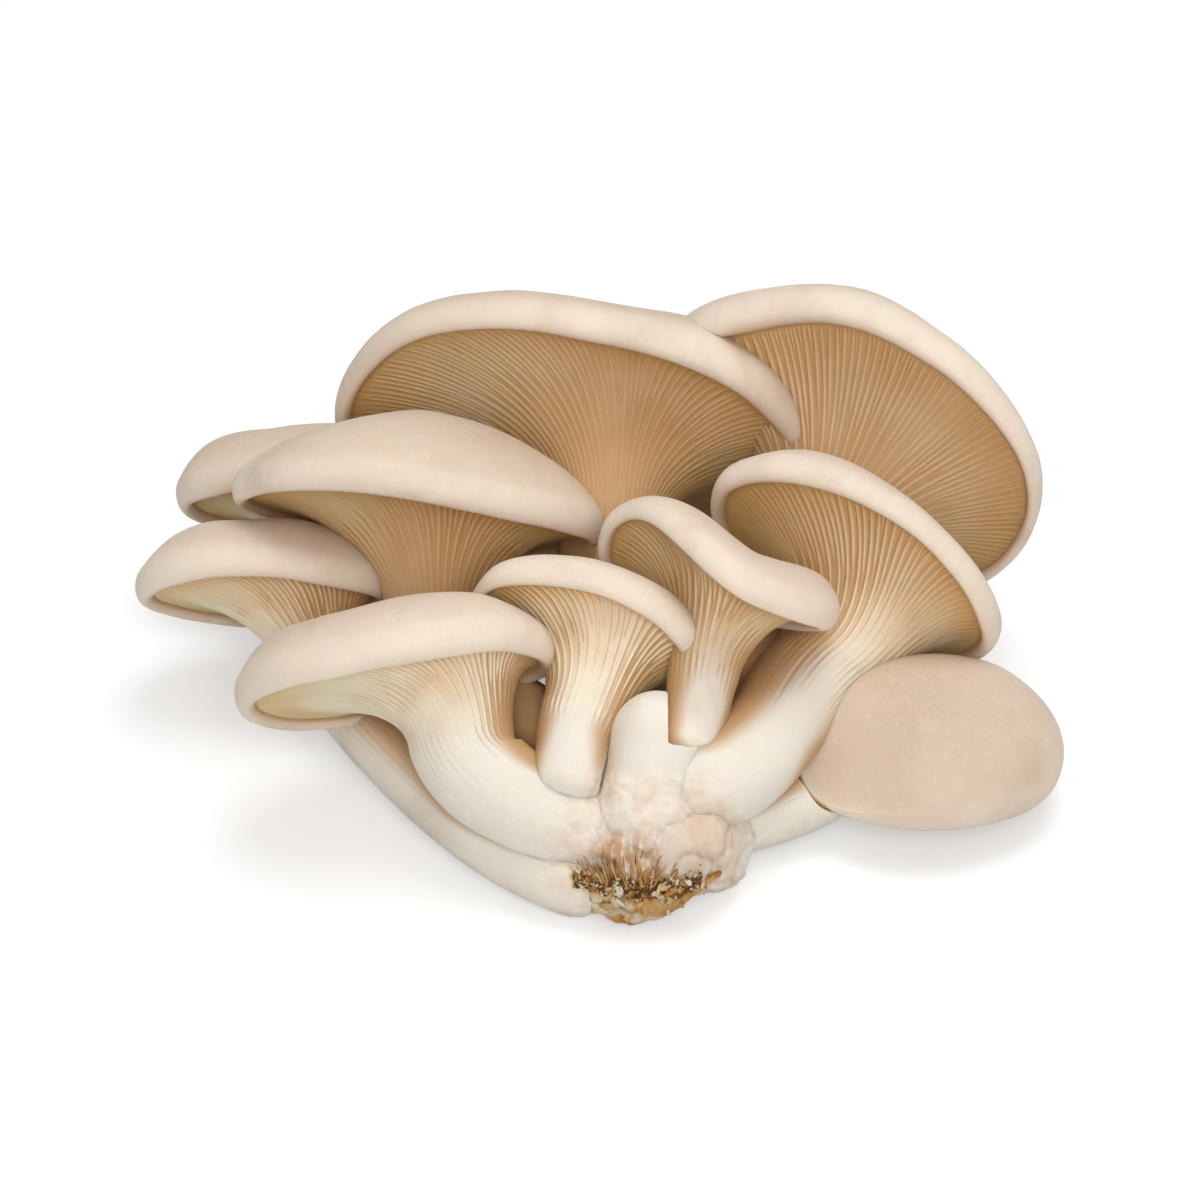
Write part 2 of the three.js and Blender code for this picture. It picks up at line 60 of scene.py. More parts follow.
# ---- the mushrooms, as in the part's source, in millimetres ----
# foot, lean: where the stem starts and the way it sets off; stem: its radius at the foot, half way
# and at the neck; arrive: the way it comes up to the neck; rim: middle of the margin; axis, long:
# the way the cap faces and the way of its long diameter; semi: half diameters; off: how far the
# margin sits off the neck; rise: height of the margin over the neck; crown: height of the dome's
# middle over the margin; lobes, droop: waves of the margin outwards and along the axis, as
# (count, size, degrees), or a single bump when the count is negative, narrower the larger it is;
# roll: where the rolled lip is thicker, in the same way; swell: how full the dome is at the lip;
# dip: how far the dome sinks near the lip, as waves too.
MUSHROOMS = {
    "mushroom_front_left": dict(
        foot=(-10, 5, 11), lean=(-8, 2, 6), stem=(8.5, 9.5, 10), arrive=(-1, 6, 5),
        rim=(-47, 28, 33), axis=(-0.17, 0.784, 0.597), long=(0.984, 0.104, 0.144),
        semi=(31.5, 22), off=(-10, -1), rise=14, crown=10, swell=0.9,
        lobes=[(3, 0.02, 20), (-4, -0.04, 0)], droop=[(3, 0.6, 70), (-2, -1.3, 290)],
        roll=[(-2, 0.2, 290)],
        dip=[(3, 0.5, 100)],
    ),
    "mushroom_front_centre": dict(
        foot=(-15, 9, 23), lean=(1, 3, 3), stem=(6.4, 7, 8), arrive=(2, 5, 2.5),
        rim=(-12.5, 37, 35.5), axis=(0.342, 0.843, 0.416), long=(0.923, -0.219, -0.315),
        semi=(26, 18), off=(-6, 0), rise=15, crown=6, swell=0.9,
        lobes=[(3, 0.02, 200), (-4, -0.1, 185)], droop=[(3, 0.5, 10), (-3, 4, 298), (-3, 1.5, 255)],
        roll=[(-1, -0.12, 300), (-4, -0.3, 190)],
        dip=[(2, 0.5, 50)],
    ),
    "mushroom_mid_right": dict(
        foot=(7, 11, 19.3), lean=(15, -1, 1.2), stem=(8.6, 9.4, 10.5), arrive=(9, 8, 2),
        rim=(39.5, 62, 35.5), axis=(0.401, 0.871, 0.283), long=(0.877, -0.276, -0.393),
        semi=(34, 26.5), off=(-5, -6), rise=21, crown=8, swell=0.9,
        lobes=[(-3, -0.18, 110), (-3, -0.1, 185), (3, 0.015, 80)],
        droop=[(3, 0.6, 30), (-2, -2, -30)], roll=[(-3, -0.25, 300)],
        dip=[(3, 0.6, 60)],
    ),
    "mushroom_mid_centre": dict(
        foot=(8.6, 17, 25), lean=(1.2, 5, 2), stem=(6, 6.1, 7.2), arrive=(1, 5, 3),
        rim=(13.5, 43, 45), axis=(0.4, 0.785, 0.498), long=(0.87, -0.45, -0.2),
        semi=(25.5, 16.5), off=(-4, -4), rise=16, crown=6.5, swell=0.9,
        lobes=[(3, 0.02, 150), (-4, -0.05, 0)],
        droop=[(2, 2.5, 45), (-5, -3.5, 285), (-4, 2, 215)], roll=[(-4, -0.35, 215)],
        dip=[],
    ),
    "mushroom_low_right": dict(
        foot=(10, 13, 8.5), lean=(9, 3, -0.5), stem=(6.5, 6.6, 7.5), arrive=(6.5, 5.3, 1.3),
        rim=(54.3, 31.7, 13.8), axis=(0.201, -0.128, 0.971), long=(0.933, 0.327, -0.151),
        semi=(28.5, 21.5), off=(17, 0), rise=7, crown=13, swell=0.8,
        lobes=[(3, 0.02, 60), (-3, -0.06, 180)], droop=[(-3, -6.5, 195)], roll=[(-3, -0.85, 195)],
        dip=[(-2, 2.5, 185)],
    ),
    "mushroom_upper_left": dict(
        foot=(-7, 16, 15), lean=(-8, 13, 8), stem=(7.5, 7.5, 9.5), arrive=(-2, 10, 8),
        rim=(-45, 74, 39), axis=(0.121, 0.694, 0.71), long=(0.992, -0.071, -0.1),
        semi=(37, 30), off=(-7, 0), rise=22, crown=21.5, swell=0.5,
        lobes=[(3, 0.02, 100), (5, 0.01, 40)], droop=[(3, 0.6, 130)], roll=[],
        dip=[(3, 0.8, 200)],
    ),
    "mushroom_back_centre": dict(
        foot=(0, 18, 14), lean=(-2, 16, 4), stem=(8.5, 8.5, 10.5), arrive=(1, 20, 8),
        rim=(-13, 110, 38), axis=(0.075, 0.914, 0.398), long=(0.996, -0.05, -0.073),
        semi=(50, 37), off=(-8, 4), rise=27, crown=14, swell=0.7,
        lobes=[(-3, 0.15, 90), (5, 0.012, 20)],
        droop=[(3, 1.5, 100), (-3, -10, 342), (-2, 2.1, 280)], roll=[(-3, 0.4, 318)],
        dip=[(3, 1, 20), (5, 0.5, 80)],
    ),
    "mushroom_back_right": dict(
        foot=(8, 20, 11), lean=(4, 25, -1), stem=(7, 6.5, 9), arrive=(6, 10, 14),
        rim=(47, 98, 40.5), axis=(0.441, 0.896, 0.057), long=(0.787, -0.355, -0.505),
        semi=(38, 33), off=(-5, -16), rise=20, crown=12, swell=0.9,
        lobes=[(-8, 0.18, 170), (-8, 0.22, 70), (-6, 0.04, 315)],
        droop=[(-5, -9, 185), (-2, -3, 270)],
        roll=[(-1, 0.3, 225), (-6, 0.5, 195), (-3, -0.4, 345)],
        dip=[(-5, -3, 200), (3, 0.6, 40)],
    ),
    "mushroom_low_left": dict(
        foot=(-11, 0, 6.5), lean=(-20, 3, 0), stem=(6.8, 7.8, 8.5), arrive=(-7, 8, 4),
        rim=(-76, 68, 24.5), axis=(0, 0.774, 0.633), long=(1, 0, 0),
        semi=(26, 20), off=(-12, -2), rise=13, crown=14.5, swell=0.9,
        lobes=[(3, 0.02, 240)], droop=[(3, 0.5, 20)], roll=[],
        dip=[(3, 0.6, 0)],
    ),
    "mushroom_rear_left": dict(
        foot=(-12, 15, 9), lean=(-12, 18, 1), stem=(6.5, 6, 7), arrive=(-3, 8, 3),
        rim=(-70.5, 107, 23), axis=(-0.102, 0.726, 0.68), long=(0.995, 0.061, 0.085),
        semi=(26, 23), off=(-3, 0), rise=15, crown=13, swell=0.8,
        lobes=[(-4, 0.2, 90), (3, 0.02, 300)], droop=[(3, 0.5, 60)], roll=[],
        dip=[(2, 0.8, 120)],
    ),
}
# The lip's arc, by its half width, half height and first and last angle.
LIP = dict(width=2, height=3.6, start=math.radians(-150), end=math.radians(50))
# The pole under the foot, in stem radii, and where along the stem its last ring stands.
FOOT_POLE, STEM_END = 0.6, 0.985
# Rings of points on the foot, the stem, the lip and the crown, and their places on the flare.
FOOT_ROWS, STEM_ROWS, LIP_ROWS, CROWN_ROWS = 5, 40, 14, 22
FLARE_PLACES = np.concatenate([np.linspace(0, 0.9, 29)[:-1], np.linspace(0.9, 1, 6)])

# A period is a full gill and three short ones. It has four columns of points on the stem, the lip
# and the crown, and sixteen on the flare. No cap has fewer full gills than this. A gill's side is
# this wide. Short gills stand at these shares of the gap between full ones, and start where a
# period is so wide, give or take, over a ramp. One that isn't there keeps its crest's and its
# foot's columns this close to its middle, as shares of the period.
PERIOD, FEWEST_GILLS = 4, 12
GILL_SIDE = 0.16
SHORT_PLACES, SHORT_PITCHES = (0.2, 0.5, 0.8), (3.3, 1.9, 3.3)
SHORT_SPREAD, SHORT_RAMP = 0.07, 0.16
CLOSED_CREST, CLOSED_FOOT = 0.012, 0.024
# The gills swing sideways by this much, in waves that count these shares of their number. Furrows
# end between these places on the stem.
SWING, SWING_SHARES = 0.09, (0.31, 0.47, 0.68, 0.9)
FURROW_ENDS = (0.35, 0.75)
# Furrows and gill colour die out where the flare is narrower than this. How much the gills'
# strength changes round a cap, and the share of the furrows' depth that is left at the neck.
WIDE_FLARE = 8
GILL_CHANGE = 0.3
NECK_SHARE = 0.13
# How much more painted shade the necks get that stand behind other caps, in their shadow.
NECK_PAINTED_SHADES = {"mushroom_back_centre": 1.2, "mushroom_mid_centre": 0.7, "mushroom_upper_left": 0.5}

# The stub's axis and the knife's cut; its outline, as places along the axis, in its lengths, and
# the radius there, in its radii; its sides, its rings on the axis and over the top, and how many
# rings to each side smooth the outline.
STUB = dict(start=(0.8, 7, 16), end=(2, 16, 28.5), radius=8.6, cut_x=4.2, cut_up=13.7)
STUB_PLACES, STUB_WIDTHS = (-0.5, -0.4, 0, 0.3, 0.6, 1), (0.3, 1.1, 1.25, 1.12, 1, 0.98)
STUB_SIDES, STUB_RINGS, STUB_TOP_RINGS, STUB_SMOOTH = 120, 110, 40, 4
# The butt's ellipsoid and its lumps, as (degrees round, degrees up, size, sharpness), and its
# sides and rows.
BUTT = dict(
    centre=(0, 11, 7),
    radii=(18.5, 15.5, 15),
    lumps=[
        (-90, 10, 1.5, 6), (-150, 0, 2.5, 8), (-35, -5, 2.5, 8), (-52, 32, 4.5, 10),
        (-115, 40, 2, 12), (180, 10, 1.5, 8), (0, 15, 1.5, 8), (60, 10, 1.5, 6),
        (-50, -42, -6, 6),
    ],
)
BUTT_GRID = (220, 110)
# The felt of white threads covers all that lies within its reach of its middle, up to an edge of
# some width. It is split and stained brown round one place and beige on the lump beside it.
FELT = dict(
    middle=(0, 5, 8), reach=20, edge=4, ragged=7, relief=0.5, splits=(-4, -5.5, 13),
    lump=(12, -2, 16),
)

# The crumbs' line is lowest at this middle, so high, and no crumb lies closer than this to the
# bed's end. The crust reaches from the bed's end to this
# far above the line, and this far to both sides of its own middle. Its back lies so deep.
LINE_MIDDLE, LINE_HEIGHT, CRUMB_MARGIN = -1, 9.8, 1.8
CRUST_TOP, CRUST_MIDDLE, CRUST_HALF, CRUST_BACK = 1.6, 0.3, 12.3, -3.0
CRUST_SIDES, CRUST_ROWS = 200, 55
# Waves of the crust's outline, as (count, size, start).
CRUST_WAVES = ((5, 0.05, 1), (9, 0.04, 0), (17, 0.03, 0), (31, 0.02, 2))
# What is strewn over the bed, in the order it falls: how many of which shape, from where to where
# across, how far above the line and how widely spread, least and greatest length, width and
# thickness, lift off the bed, shade, bend, lean and how much it fans up the bed.
STREWN = (
    dict(count=460, shape="ball", across=(-13.5, 10.5), above=0.1, spread=0.9,
         least=(0.35, 0.35, 0.35), most=(1.5, 1.1, 1), lift=(-0.1, 1.1), shades=(0.0, 0.6)),
    dict(count=130, shape="leaf", across=(-13.5, 10.5), above=0.2, spread=1.3,
         least=(0.7, 0.5, 0.15), most=(2.6, 1.3, 0.3), lift=(0.2, 1.4), shades=(0.45, 1),
         bend=0.15, lean=0.5),
    dict(count=16, shape="leaf", across=(-8, 4), above=-3.5, spread=2,
         least=(1.4, 1, 0.2), most=(4, 2.6, 0.35), lift=(1.0, 1.3), shades=(0.55, 1),
         bend=0.04, lean=0.08),
    dict(count=70, shape="chip", across=(-12, 8), above=2.4, spread=1.4,
         least=(2.5, 0.25, 0.2), most=(6, 0.7, 0.4), lift=(0.0, 0.7), shades=(0.38, 0.8),
         bend=0.01, lean=0.07, upright=0.88),
    dict(count=26, shape="chip", across=(-8, 6), above=4.5, spread=1,
         least=(2, 0.2, 0.15), most=(4.5, 0.4, 0.25), lift=(0.0, 0.35), shades=(0.3, 0.6),
         bend=0.01, lean=0.05, upright=0.9),
)
# Sides and rows of the shapes that are strewn.
SHAPES = dict(ball=(6, 4), chip=(6, 3), leaf=(7, 3))
CRUST_SEED = 11

# How deep the dents, how high the butt's nubs and how deep and narrow its cracks are.
DENT_DEPTH, NUB_HEIGHT, CRACK_DEPTH, CRACK_WIDTH = 0.22, 0.9, 1.1, 0.07
# Noises, as (size in millimetres, octaves, seed).
DENTS, THREADS, FELT_EDGE = (13, 2, 3), (2.4, 3, 11), (7, 2, 40)
NUBS, CRACKS = (4.5, 4, 23), (9, 2, 61)
LAYERS, ROUGH, PATCHES, SPECKS = (6, 2, 73), (2.5, 4, 71), (6, 3, 31), (2, 2, 32)
CUT_SEED = 5

FLOOR_DROP, FLOOR_HALF = 0.05, 3000
LOOK_AT = (-8.5, 51.3, 35)


# ---- small tools ----
def paint(code):
    """The linear red, green, blue and alpha of a six-figure screen colour."""
    channels = [int(code[i:i + 2], 16) / 255 for i in (0, 2, 4)]
    linear = (c / 12.92 if c <= 0.04045 else ((c + 0.055) / 1.055) ** 2.4 for c in channels)
    return (*linear, 1.0)


def unit(v):
    """The vectors at length one, along the last axis."""
    v = np.asarray(v, float)
    return v / np.linalg.norm(v, axis=-1, keepdims=True)


def ease(x):
    """Runs from 0 to 1 by 3x^2 - 2x^3, and stays level outside."""
    x = np.clip(x, 0, 1)
    return x * x * (3 - 2 * x)


def noise(points, seed):
    """Smooth noise from -1 to 1. Each corner of a unit lattice holds a number hashed from its place
    and the seed, and inside a cell its eight numbers blend by 3t^2 - 2t^3 along each axis."""
    cell = np.floor(points).astype(np.int64)
    blend = ease(points - cell)
    total = np.zeros(points.shape[:-1])
    for corner in np.ndindex(2, 2, 2):
        x, y, z = np.moveaxis(cell + np.array(corner), -1, 0)
        mixed = (x * 73856093) ^ (y * 19349663) ^ (z * 83492791) ^ (seed * 26544357)
        mixed = ((mixed ^ (mixed >> 13)) * 1274126177) & 0x7FFFFFFF
        value = ((mixed ^ (mixed >> 15)) & 0xFFFF) / 32767.5 - 1
        total += value * np.prod(np.where(corner, blend, 1 - blend), axis=-1)
    return total


def fractal(points, size, octaves, seed):
    """A sum of noises, each half the size and half the strength of the one before."""
    return sum(
        noise(points * (2 ** octave / size), seed + octave) / 2 ** octave
        for octave in range(octaves)
    )


def waves(terms, angle):
    """The sum of waves, size x cos(count x turn), and bumps, size x exp(|count| (cos turn - 1))."""
    total = np.zeros_like(angle)
    for count, size, at in terms:
        turn = angle - math.radians(at)
        wave = np.exp(-count * (np.cos(turn) - 1)) if count < 0 else np.cos(count * turn)
        total += size * wave
    return total


def around(angle, height, reach=1.0):
    """Points at an angle and a reach about an axis, so high along it."""
    x, y = np.cos(angle) * reach, np.sin(angle) * reach
    return np.stack(np.broadcast_arrays(x, y, height), -1)


def read(items, name, width=1):
    """One value of all the points of a mesh, as rows when it has a width."""
    values = np.zeros(len(items) * width, np.float32)
    items.foreach_get(name, values)
    return values if width == 1 else values.reshape(-1, width)


class Skin:
    """Points, faces and point values of one closed mesh, gathered ring by ring."""

    def __init__(self):
        self.points, self.quads, self.triangles, self.values = [], [], [], {}
        self.count = 0

    def add(self, points, **values):
        """Takes points of any grid shape and their values, and returns their numbers, in that
        shape. The grain is a vector at each point, and every other value is a number."""
        points = np.asarray(points, float)
        shape = points.shape[:-1]
        self.points.append(points.reshape(-1, 3))
        size = len(self.points[-1])
        for name, value in values.items():
            full = np.broadcast_to(value, points.shape if name == "grain" else shape)
            self.values.setdefault(name, []).append(full.reshape(size, -1))
        self.count += size
        return np.arange(self.count - size, self.count).reshape(shape)

    def sheet(self, ids):
        """Quads over a grid of rings, each ring closed on itself, first to last ring."""
        low, high = ids[:-1], ids[1:]
        quads = np.stack([low, np.roll(low, -1, 1), np.roll(high, -1, 1), high], -1)
        self.quads.append(quads.reshape(-1, 4))

    def stitch(self, coarse, fine, owners, fine_above):
        """Joins a ring of few points to one of many. Each step of the fine ring joins the coarse
        point that owns it, and where the owner changes the coarse step joins the fine point."""
        here = coarse[owners % len(coarse)]
        before = np.roll(here, 1)
        steps = np.stack([here, np.roll(fine, -1), fine], 1)
        change = before != here
        turns = np.stack([before[change], here[change], fine[change]], 1)
        faces = np.concatenate([steps, turns])
        self.triangles.append(faces if fine_above else faces[:, ::-1])

    def cap(self, pole, ring, pole_above, **values):
        """A fan of triangles between a ring and a pole, which is added with its values."""
        pole_id = self.add(np.reshape(pole, (1, 3)), **values)
        faces = np.stack([np.broadcast_to(pole_id, ring.shape), np.roll(ring, -1), ring], 1)
        self.triangles.append(faces[:, ::-1] if pole_above else faces)


def mesh_of(name, skin, relief=None):
    """Makes the mesh in metres, moves its points along their normals by the relief, in
    millimetres, and lays level with the floor what would be under it."""
    points = np.concatenate(skin.points)
    quads, triangles = np.concatenate(skin.quads), np.concatenate(skin.triangles)
    mesh = bpy.data.meshes.new(name)
    mesh.vertices.add(len(points))
    mesh.loops.add(quads.size + triangles.size)
    mesh.polygons.add(len(quads) + len(triangles))
    mesh.vertices.foreach_set("co", (points * MM).ravel())
    mesh.loops.foreach_set("vertex_index", np.concatenate([quads.ravel(), triangles.ravel()]))
    starts = [np.arange(len(quads)) * 4, quads.size + np.arange(len(triangles)) * 3]
    mesh.polygons.foreach_set("loop_start", np.concatenate(starts))
    mesh.update(calc_edges=True)
    if relief is not None:
        points = points + read(mesh.vertex_normals, "vector", 3) * relief(points)[:, None]
    points[:, 2] = np.maximum(points[:, 2], 0)
    mesh.vertices.foreach_set("co", (points * MM).ravel())
    for value_name, parts in skin.values.items():
        values = np.concatenate(parts)
        kind = "FLOAT" if values.shape[1] == 1 else "FLOAT_VECTOR"
        attribute = mesh.attributes.new(value_name, kind, "POINT")
        attribute.data.foreach_set("value" if kind == "FLOAT" else "vector", values.ravel())
    mesh.shade_smooth()
    mesh.update()
    if mesh.validate():
        raise RuntimeError(f"{name}: the mesh had faults")
    return mesh


def place(name, mesh, material, slot, *nodes):
    """Puts a mesh into the scene at the origin, on the cluster's body, for its nodes."""
    mesh.materials.append(material)
    piece = bpy.data.objects.new(name, mesh)
    bpy.context.scene.collection.objects.link(piece)
    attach(piece, BODY)
    if nodes:
        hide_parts(*nodes)


def felt_mask(points):
    """1 well inside the felt and 0 outside: the distance from its middle, made ragged by noise."""
    distance = np.linalg.norm(points - np.array(FELT["middle"]), axis=-1)
    distance = distance + FELT["ragged"] * 0.5 * fractal(points, *FELT_EDGE)
    return ease((FELT["reach"] + FELT["edge"] / 2 - distance) / FELT["edge"])


def flesh_relief(points):
    """Low dents all over, and the felt's threads and nubs near the butt."""
    nubs = FELT["relief"] * fractal(points, *THREADS)
    return DENT_DEPTH * fractal(points, *DENTS) + felt_mask(points) * nubs


# ---- mushrooms ----
class Mushroom:
    """One mushroom's surfaces, as functions of the angle round it and the place along it."""

    def __init__(self, spec, seed):
        self.spec = spec
        self.z = unit(spec["axis"])
        long = np.array(spec["long"], float)
        self.x = unit(long - self.z * (long @ self.z))
        self.y = np.cross(self.z, self.x)
        self.axes = np.stack([self.x, self.y, self.z])
        across = self.x * spec["off"][0] + self.y * spec["off"][1]
        self.neck = np.array(spec["rim"], float) - self.z * spec["rise"] - across
        self.random = np.random.default_rng(seed)
        self.turns = self.random.uniform(0, TURN, 12)
        swing = unit(spec["arrive"]) - self.z
        self.swing = np.array([swing @ axis for axis in self.axes])

    def world(self, local):
        """Points in the cap's own axes, from the neck, put where they are in the cluster."""
        return self.neck + local @ self.axes

    def gill_edge(self, angle):
        """The gills' outer edge: an ellipse with lobes, set off the neck, that droops in waves, and
        small uneven waves all round."""
        spec = self.spec
        inset = LIP["width"] * (1 - math.cos(LIP["start"]))
        uneven = sum(0.5 / k * np.sin(k * angle + self.turns[k - 4]) for k in (5, 7, 9, 12))
        grow = 1 + waves(spec["lobes"], angle)
        x = (spec["semi"][0] * grow - inset + uneven) * np.cos(angle) + spec["off"][0]
        y = (spec["semi"][1] * grow - inset + uneven) * np.sin(angle) + spec["off"][1]
        return np.stack([x, y, spec["rise"] + waves(spec["droop"], angle)], -1)

    def flare(self, angle, s):
        """The underside: from the neck's circle to the gills' edge, outwards by 1 - cos and upwards
        by sin of a quarter turn. It sets off the way the stem arrives, and that lean dies out by
        s (1 - s)^2."""
        radius = self.spec["stem"][2]
        edge = self.gill_edge(angle)
        out = 1 - np.cos(QUARTER * s)
        x = radius * np.cos(angle) * (1 - out) + edge[..., 0] * out
        y = radius * np.sin(angle) * (1 - out) + edge[..., 1] * out
        z = edge[..., 2] * np.sin(QUARTER * s)
        lean = self.spec["rise"] * QUARTER * s * (1 - s) ** 2
        return np.stack([x, y, z], -1) + lean[..., None] * self.swing

    def flare_normal(self, angle, s):
        """The outward normal of the flare, from its slopes round and along."""
        step = 1e-3
        turned = self.flare(angle + step, s) - self.flare(angle - step, s)
        ahead, back = np.minimum(s + step, 1), np.maximum(s - step, 0)
        return unit(np.cross(turned, self.flare(angle, ahead) - self.flare(angle, back)))

    def breadth(self, angle):
        """How far the flare reaches past the neck: 0 where it hardly does, 1 where it is wide."""
        edge = self.gill_edge(angle)
        wide = np.hypot(edge[..., 0], edge[..., 1]) - self.spec["stem"][2]
        return ease((wide - 1) / WIDE_FLARE)

    def lip(self, angle, row):
        """The rolled margin: an arc that leaves the gills' edge along the margin's outward
        normal."""
        full = 1 + waves(self.spec["roll"], angle)
        ahead = self.gill_edge(angle + 0.01) - self.gill_edge(angle - 0.01)
        out = unit(np.stack([ahead[..., 1], -ahead[..., 0]], -1))
        turn = LIP["start"] + (LIP["end"] - LIP["start"]) * row
        reach = full * LIP["width"] * (np.cos(turn) - math.cos(LIP["start"]))
        rise = full * LIP["height"] * (np.sin(turn) - math.sin(LIP["start"]))
        rolled = np.concatenate([out * reach[..., None], rise[..., None]], -1)
        return self.gill_edge(angle) + rolled

    def crown(self, angle, q):
        """The dome: in to its middle and up by cubics, from the lip's slope to level. They set off
        with the swell's share of their full speed, less where the lip is thin, so a small swell
        gives a flat dome. The dip, 27/4 q (1 - q)^2, is deepest a third of the way in."""
        end, off = LIP["end"], self.spec["off"]
        slope = (LIP["height"] * math.cos(end)) / (LIP["width"] * math.sin(end))
        start = self.lip(angle, np.ones_like(q))
        middle = np.array([off[0] * 0.7, off[1] * 0.7, self.spec["rise"] + self.spec["crown"]])
        reach = np.hypot(start[..., 0] - middle[0], start[..., 1] - middle[1])
        full = self.spec["swell"] * (1 + waves(self.spec["roll"], angle))
        swell = full * (q**3 - 2 * q**2 + q)
        inwards = swell + (3 * q**2 - 2 * q**3) + (q**3 - q**2)
        point = start + (middle - start) * inwards[..., None]
        point[..., 2] = (
            start[..., 2] * (2 * q**3 - 3 * q**2 + 1)
            + slope * reach * swell
            + middle[2] * (3 * q**2 - 2 * q**3)
            - waves(self.spec["dip"], angle) * 27 / 4 * q * (1 - q) ** 2
        )
        return point

    def stem_line(self, t):
        """The stem's middle line, a cubic curve, and the way it runs there."""
        p0, p3 = np.array(self.spec["foot"], float), self.neck
        p1, p2 = p0 + np.array(self.spec["lean"]), p3 - np.array(self.spec["arrive"])
        t = t[..., None]
        before, after = (1 - t) ** 3 * p0 + 3 * (1 - t) ** 2 * t * p1, 3 * (1 - t) * t**2 * p2
        way = (1 - t) ** 2 * (p1 - p0) + 2 * (1 - t) * t * (p2 - p1) + t**2 * (p3 - p2)
        return before + after + t**3 * p3, unit(way)

    def stem_radius(self, t):
        """A parabola through the stem's three given radii."""
        r0, r1, r2 = self.spec["stem"]
        return (1 - t) * (1 - 2 * t) * r0 + 4 * t * (1 - t) * r1 + t * (2 * t - 1) * r2

    def stem(self, angle, t, inwards, scale=1.0, back=0.0):
        """Rings square to the middle line, which turn into the cap's plane at the neck, with a few
        slow swells."""
        swell = 0.03 * np.sin(2 * angle + 5 * t + self.turns[0]) + 0.02 * np.sin(3 * angle - 8 * t)
        radius = self.stem_radius(t) * (scale + swell * (1 - t) * scale) - inwards
        centre, way = self.stem_line(t)
        way = unit(way + (self.z - way) * ease((t - 0.6) / 0.4)[..., None])
        u = unit(self.x - way * (way @ self.x)[..., None])
        v = np.cross(way, u)
        centre = centre - way * np.asarray(back * self.spec["stem"][0])[..., None]
        ring = np.cos(angle)[..., None] * u + np.sin(angle)[..., None] * v
        return centre + radius[..., None] * ring


def gill_layout(pitch, presence, blade):
    """Where the columns of one period stand, as shares of it: the full gill's crest at 0, then
    three short gills. A short gill's columns close up where it isn't there, in the furrow."""
    crest, side = blade / 2 / pitch, GILL_SIDE / pitch
    foot = crest + side
    columns = [-crest, crest, foot]
    for at, here in zip(SHORT_PLACES, np.moveaxis(presence, -1, 0)):
        middle = foot + (1 - 2 * foot) * at
        low, wide = np.maximum(crest * here, CLOSED_CREST), np.maximum(foot * here, CLOSED_FOOT)
        columns += [middle - wide, middle - low, middle + low, middle + wide]
    columns.append(1 - foot)
    return np.stack(np.broadcast_arrays(*columns), -1)


